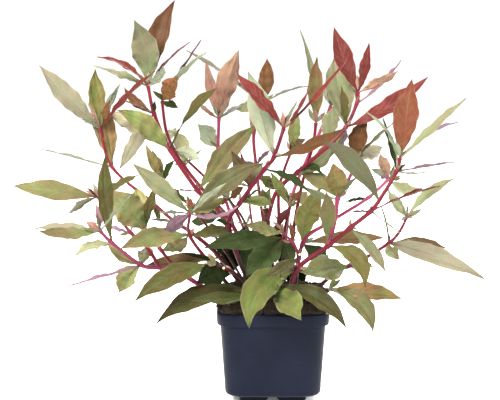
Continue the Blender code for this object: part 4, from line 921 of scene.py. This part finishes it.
def roundedSquare(width, corner):
    # Around a level square with round corners: each side a straight run, each corner an arc
    looks = potLooks
    half = width / 2 - corner
    arc = np.linspace(0, np.pi / 2, looks["cornerSteps"] + 1)
    quarter = np.stack([half + corner * np.cos(arc), half + corner * np.sin(arc)], -1)
    run = np.linspace(1, -1, looks["sideSteps"] + 1)[1:-1, None]
    straight = np.hstack([run * half, np.full_like(run, half + corner)])
    side = np.vstack([quarter, straight])
    turns = [np.array([[np.cos(a), np.sin(a)], [-np.sin(a), np.cos(a)]])
             for a in np.arange(4) * np.pi / 2]
    return np.vstack([side @ turn for turn in turns])


def makePot():
    looks = potLooks
    rim, height, corner, belly = (looks[key] for key in ("rim", "height", "corner", "belly"))
    foot, footCorner, footHeight = (looks[key] for key in ("foot", "footCorner", "footHeight"))
    wallTop, wallBottom, wall = (looks[key] for key in ("wallTop", "wallBottom", "wall"))
    under = height - looks["rimDepth"]
    # Width, corner radius and height of each ring, from the foot up, over the rim and down inside
    profile = [(foot - 2 * mm, footCorner, 0), (foot - 0.6 * mm, footCorner, 0.5 * mm),
               (foot, footCorner, footHeight)]
    for a in np.linspace(0, np.pi / 2, 7):
        inset = belly * (1 - np.sin(a))
        profile.append((wallBottom - 2 * inset, corner - inset, footHeight + belly * (1 - np.cos(a))))
    for share in np.linspace(0.1, 1, 12):
        profile.append((wallBottom + (wallTop - wallBottom) * share, corner,
                        footHeight + belly + (under - footHeight - belly) * share))
    profile += [(width, corner, z) for width, z in (
        (rim - 2.2 * mm, under), (rim - 1.2 * mm, under + 0.3 * mm), (rim - 0.8 * mm, under + 1.2 * mm),
        (rim, height - 1.6 * mm), (rim - 0.5 * mm, height - 0.5 * mm), (rim - 1.6 * mm, height),
        (looks["mouth"], height), (wallTop - 2 * wall, under),
        (wallBottom - 2 * wall, footHeight + 2 * mm))]
    rings = np.stack([np.hstack([roundedSquare(w, c), np.full((len(roundedSquare(w, c)), 1), z)])
                      for w, c, z in profile])
    # Notches: lift the foot where it crosses the middle of a side
    flat = rings[:2]
    inNotch = (np.minimum(np.abs(flat[..., 0]), np.abs(flat[..., 1])) < looks["notchWidth"] / 2)
    flat[..., 2] += np.where(inNotch, looks["notchDepth"], 0)
    heights = np.array([p[2] for p in profile])
    skin = tubeSkin(rings, heights, turnMap(rings.shape[1]))
    plastic, tree = newMaterial("potPlastic", 0.42, Specular_IOR_Level=0.06)
    cloudy = noise(tree, 28.0, 4.0)
    grain = noise(tree, 1400.0, 2.0)
    scuffs = noise(tree, 60.0, 5.0, 0.65, stretch=(1, 1, 5))
    colour = mixColour(ramp(cloudy, 0.3, 0.75), (0.0025, 0.0034, 0.0082), (0.0040, 0.0053, 0.0118))
    colour = coat(colour, (ramp(scuffs, 0.60, 0.80), 0.20, (0.022, 0.024, 0.030)))
    finishMaterial(tree, colour, grain, 0.0002, 0.12, ramp(cloudy, 0.2, 0.8, 0.36, 0.50))
    pot = makePiece("potShell", [skin], [plastic], 35)
    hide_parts("pot")


# The soil

soilLooks = dict(
    width=93.5 * mm, height=8 * mm, crown=5 * mm, crownReach=60 * mm,
    rings=46, around=220,
    lumps=420, lumpSize=(1.2 * mm, 4.5 * mm), lumpHeight=0.75,
    crumbs=900, crumbSize=(0.5 * mm, 1.7 * mm),
    fibres=130, fibreLength=(5 * mm, 16 * mm),
    squareness=7.0,                  # the outline's power: 2 is round, more is squarer
    edgeFrom=0.93, edgeDrop=4 * mm,  # from this share of the half width on, the top falls by this
)


def soilDome(x, y):
    # The cake's height, plus its crown times 1 - (r / 60 mm)^2
    crown = soilLooks["crown"] * (1 - (x ** 2 + y ** 2) / soilLooks["crownReach"] ** 2)
    return potLooks["height"] + soilLooks["height"] + crown


def soilHeight(x, y, lumpX, lumpY, lumpR):
    # The dome plus lumps: each a bell of its own width, the highest one counting
    far = np.hypot(x[..., None] - lumpX, y[..., None] - lumpY)
    return soilDome(x, y) + (soilLooks["lumpHeight"] * lumpR * bell(far, lumpR)).max(-1) - 1.5 * mm


def makeSoil():
    looks = soilLooks
    rng = np.random.default_rng(7)
    half = looks["width"] / 2
    lumpX, lumpY = rng.uniform(-half, half, (2, looks["lumps"]))
    lumpR = rng.uniform(*looks["lumpSize"], looks["lumps"])
    angle = np.linspace(0, 2 * np.pi, looks["around"], endpoint=False)
    power = looks["squareness"]
    edge = half / (np.abs(np.cos(angle)) ** power + np.abs(np.sin(angle)) ** power) ** (1 / power)
    edge = edge * (1 + 0.012 * np.sin(angle * 5 + 1) + 0.010 * np.sin(angle * 13)
                   + 0.008 * rng.normal(size=len(angle)))
    share = np.sin(np.linspace(0, np.pi / 2, looks["rings"]))[::-1]
    x = share[:, None] * edge * np.cos(angle)
    y = share[:, None] * edge * np.sin(angle)
    z = soilHeight(x, y, lumpX, lumpY, lumpR)
    drop = np.clip((share[:, None] - looks["edgeFrom"]) / (1 - looks["edgeFrom"]), 0, 1) ** 2
    z = z - drop * looks["edgeDrop"]
    side = np.linspace(0.25, 1, 5)[::-1]
    base = potLooks["height"] + 0.3 * mm
    lowX, lowY = x[:1] * (1 - 0.03 * side[:, None]), y[:1] * (1 - 0.03 * side[:, None])
    lowZ = z[:1] - (z[:1] - base) * side[:, None]
    wobble = 0.6 * mm * np.sin(angle * 23 + lowZ / mm * 1.3)
    rings = np.stack([np.vstack([lowX + wobble * np.cos(angle), x]),
                      np.vstack([lowY + wobble * np.sin(angle), y]), np.vstack([lowZ, z])], -1)
    plug = rings[:1] * np.array([0.88, 0.88, 1]) - np.array([0, 0, 3 * mm])
    rings = np.vstack([plug, rings])
    skins = [tubeSkin(rings, np.linspace(0, 1, len(rings)), turnMap(looks["around"]))]

    # Crumbs: four rough little rings of six sides each; fibres: thin bent threads of root and bark
    spots = rng.uniform(-half * 0.97, half * 0.97, (looks["crumbs"] + looks["fibres"], 2))
    tops = soilHeight(spots[:, 0], spots[:, 1], lumpX, lumpY, lumpR)
    around = np.arange(6) * np.pi / 3
    flat = turnMap(6)
    for (px, py), pz in zip(spots[:looks["crumbs"]], tops):
        if max(abs(px), abs(py)) > half * looks["edgeFrom"]:
            pz -= 3 * mm
        size = rng.uniform(*looks["crumbSize"])
        rise = np.array([-0.8, -0.3, 0.45, 0.8])[:, None]
        fat = np.array([0.55, 1.0, 0.85, 0.35])[:, None] * rng.uniform(0.75, 1.25, (4, 6))
        crumb = np.stack([fat * np.cos(around), fat * np.sin(around),
                          np.broadcast_to(rise, (4, 6))], -1) * size + [px, py, pz]
        skins.append(tubeSkin(crumb, np.linspace(0, 1, 4), flat, tone=rng.uniform()))
    for (px, py), pz in zip(spots[looks["crumbs"]:], tops[looks["crumbs"]:]):
        length = rng.uniform(*looks["fibreLength"])
        heading = rng.uniform(0, 2 * np.pi)
        if max(abs(px + length * np.cos(heading)), abs(py + length * np.sin(heading))) > half:
            heading += np.pi
        t = np.linspace(0, 1, 7)
        track = np.stack([px + length * t * np.cos(heading) + 1.5 * mm * np.sin(3 * t) * np.sin(heading),
                          py + length * t * np.sin(heading) - 1.5 * mm * np.sin(3 * t) * np.cos(heading),
                          pz + 0.5 * mm + 2.2 * mm * t * (1 - t)], -1)
        tangent = unit(np.gradient(track, axis=0))
        sideways = unit(np.cross(tangent, [0, 0, 1]))
        above = np.cross(sideways, tangent)
        thin = rng.uniform(0.16, 0.45) * mm
        thread = track[:, None] + thin * (sideways[:, None] * np.cos(around)[:, None]
                                          + above[:, None] * np.sin(around)[:, None])
        skins.append(tubeSkin(thread, t, flat, tone=rng.uniform(0.6, 1.0)))
    peat, tree = newMaterial("soilPeat", 0.92, Specular_IOR_Level=0.10)
    patches = noise(tree, 260.0, 5.0, 0.7)
    specks = noise(tree, 1500.0, 3.0, 0.6)
    tone = addNode(tree, "Attribute", dict(attribute_name="tone"), output=2)
    colour = mixColour(ramp(patches, 0.35, 0.7), (0.005, 0.0035, 0.0025), (0.016, 0.011, 0.0065))
    colour = mixColour(ramp(specks, 0.60, 0.74, 0.0, 0.6), colour, (0.060, 0.045, 0.020))
    colour = mixColour(ramp(tone, 0.62, 1.0, 0.0, 0.75), colour, (0.050, 0.034, 0.015))
    finishMaterial(tree, colour, specks, 0.0006, 0.8)
    soil = makePiece("soilCake", skins, [peat], 30)
    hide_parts("soil")


# The room: camera, lights and floor

studioLooks = dict(
    lights=(                                     # name, place, size, power, colour
        ("keyLight", (-0.75, -1.15, 1.35), 0.80, 130, (1, 0.985, 0.96)),
        ("fillLight", (1.3, -0.9, 0.7), 1.0, 28, (0.96, 0.98, 1)),
        ("backLight", (0.4, 1.2, 1.1), 0.8, 45, (1, 1, 1)),
    ),
    litSpot=(0, 0, 0.15),                        # what the lights point at
    worldStrength=1.03,
    floorReach=60.0,
)


def makeStudio():
    camera = bpy.data.cameras.new("camera")
    camera.sensor_fit = "HORIZONTAL"
    camera.sensor_width = 36
    camera.lens = camera.sensor_width * sheet["pitch"] / sheet["columns"]
    camera.clip_start = 0.05
    shot = bpy.data.objects.new("camera", camera)
    shot.location = eye
    shot.rotation_euler = (np.pi / 2 - sheet["eyeTilt"], 0, 0)
    bpy.context.scene.collection.objects.link(shot)
    bpy.context.scene.camera = shot

    for name, place, size, power, colour in studioLooks["lights"]:
        lamp = bpy.data.lights.new(name, "AREA")
        lamp.size = size
        lamp.energy = power
        lamp.color = colour
        light = bpy.data.objects.new(name, lamp)
        light.location = place
        sight = Vector(studioLooks["litSpot"]) - Vector(place)
        light.rotation_euler = sight.to_track_quat("-Z", "Y").to_euler()
        bpy.context.scene.collection.objects.link(light)

    world = bpy.data.worlds.new("studio")
    world.use_nodes = True
    backdrop = world.node_tree.nodes["Background"]
    backdrop.inputs["Color"].default_value = (1, 1, 1, 1)
    backdrop.inputs["Strength"].default_value = studioLooks["worldStrength"]
    bpy.context.scene.world = world
    bpy.context.scene.view_settings.view_transform = "Standard"

    mesh = bpy.data.meshes.new("floor")
    reach = studioLooks["floorReach"]
    corners = [(-reach, -reach, 0), (reach, -reach, 0), (reach, reach, 0), (-reach, reach, 0)]
    mesh.from_pydata(corners, [], [(0, 1, 2, 3)])
    floor = bpy.data.objects.new("floor", mesh)
    bpy.context.scene.collection.objects.link(floor)
    paint = newMaterial("floorPaint", 0.8, Base_Color=(0.95, 0.95, 0.95, 1), Emission_Strength=0.12,
                        Emission_Color=(1, 1, 1, 1))[0]
    mesh.materials.append(paint)


makeStudio()
print("studio ready")
makePot()
makeSoil()
print("pot and soil ready")
growPlant()
print("plant ready")
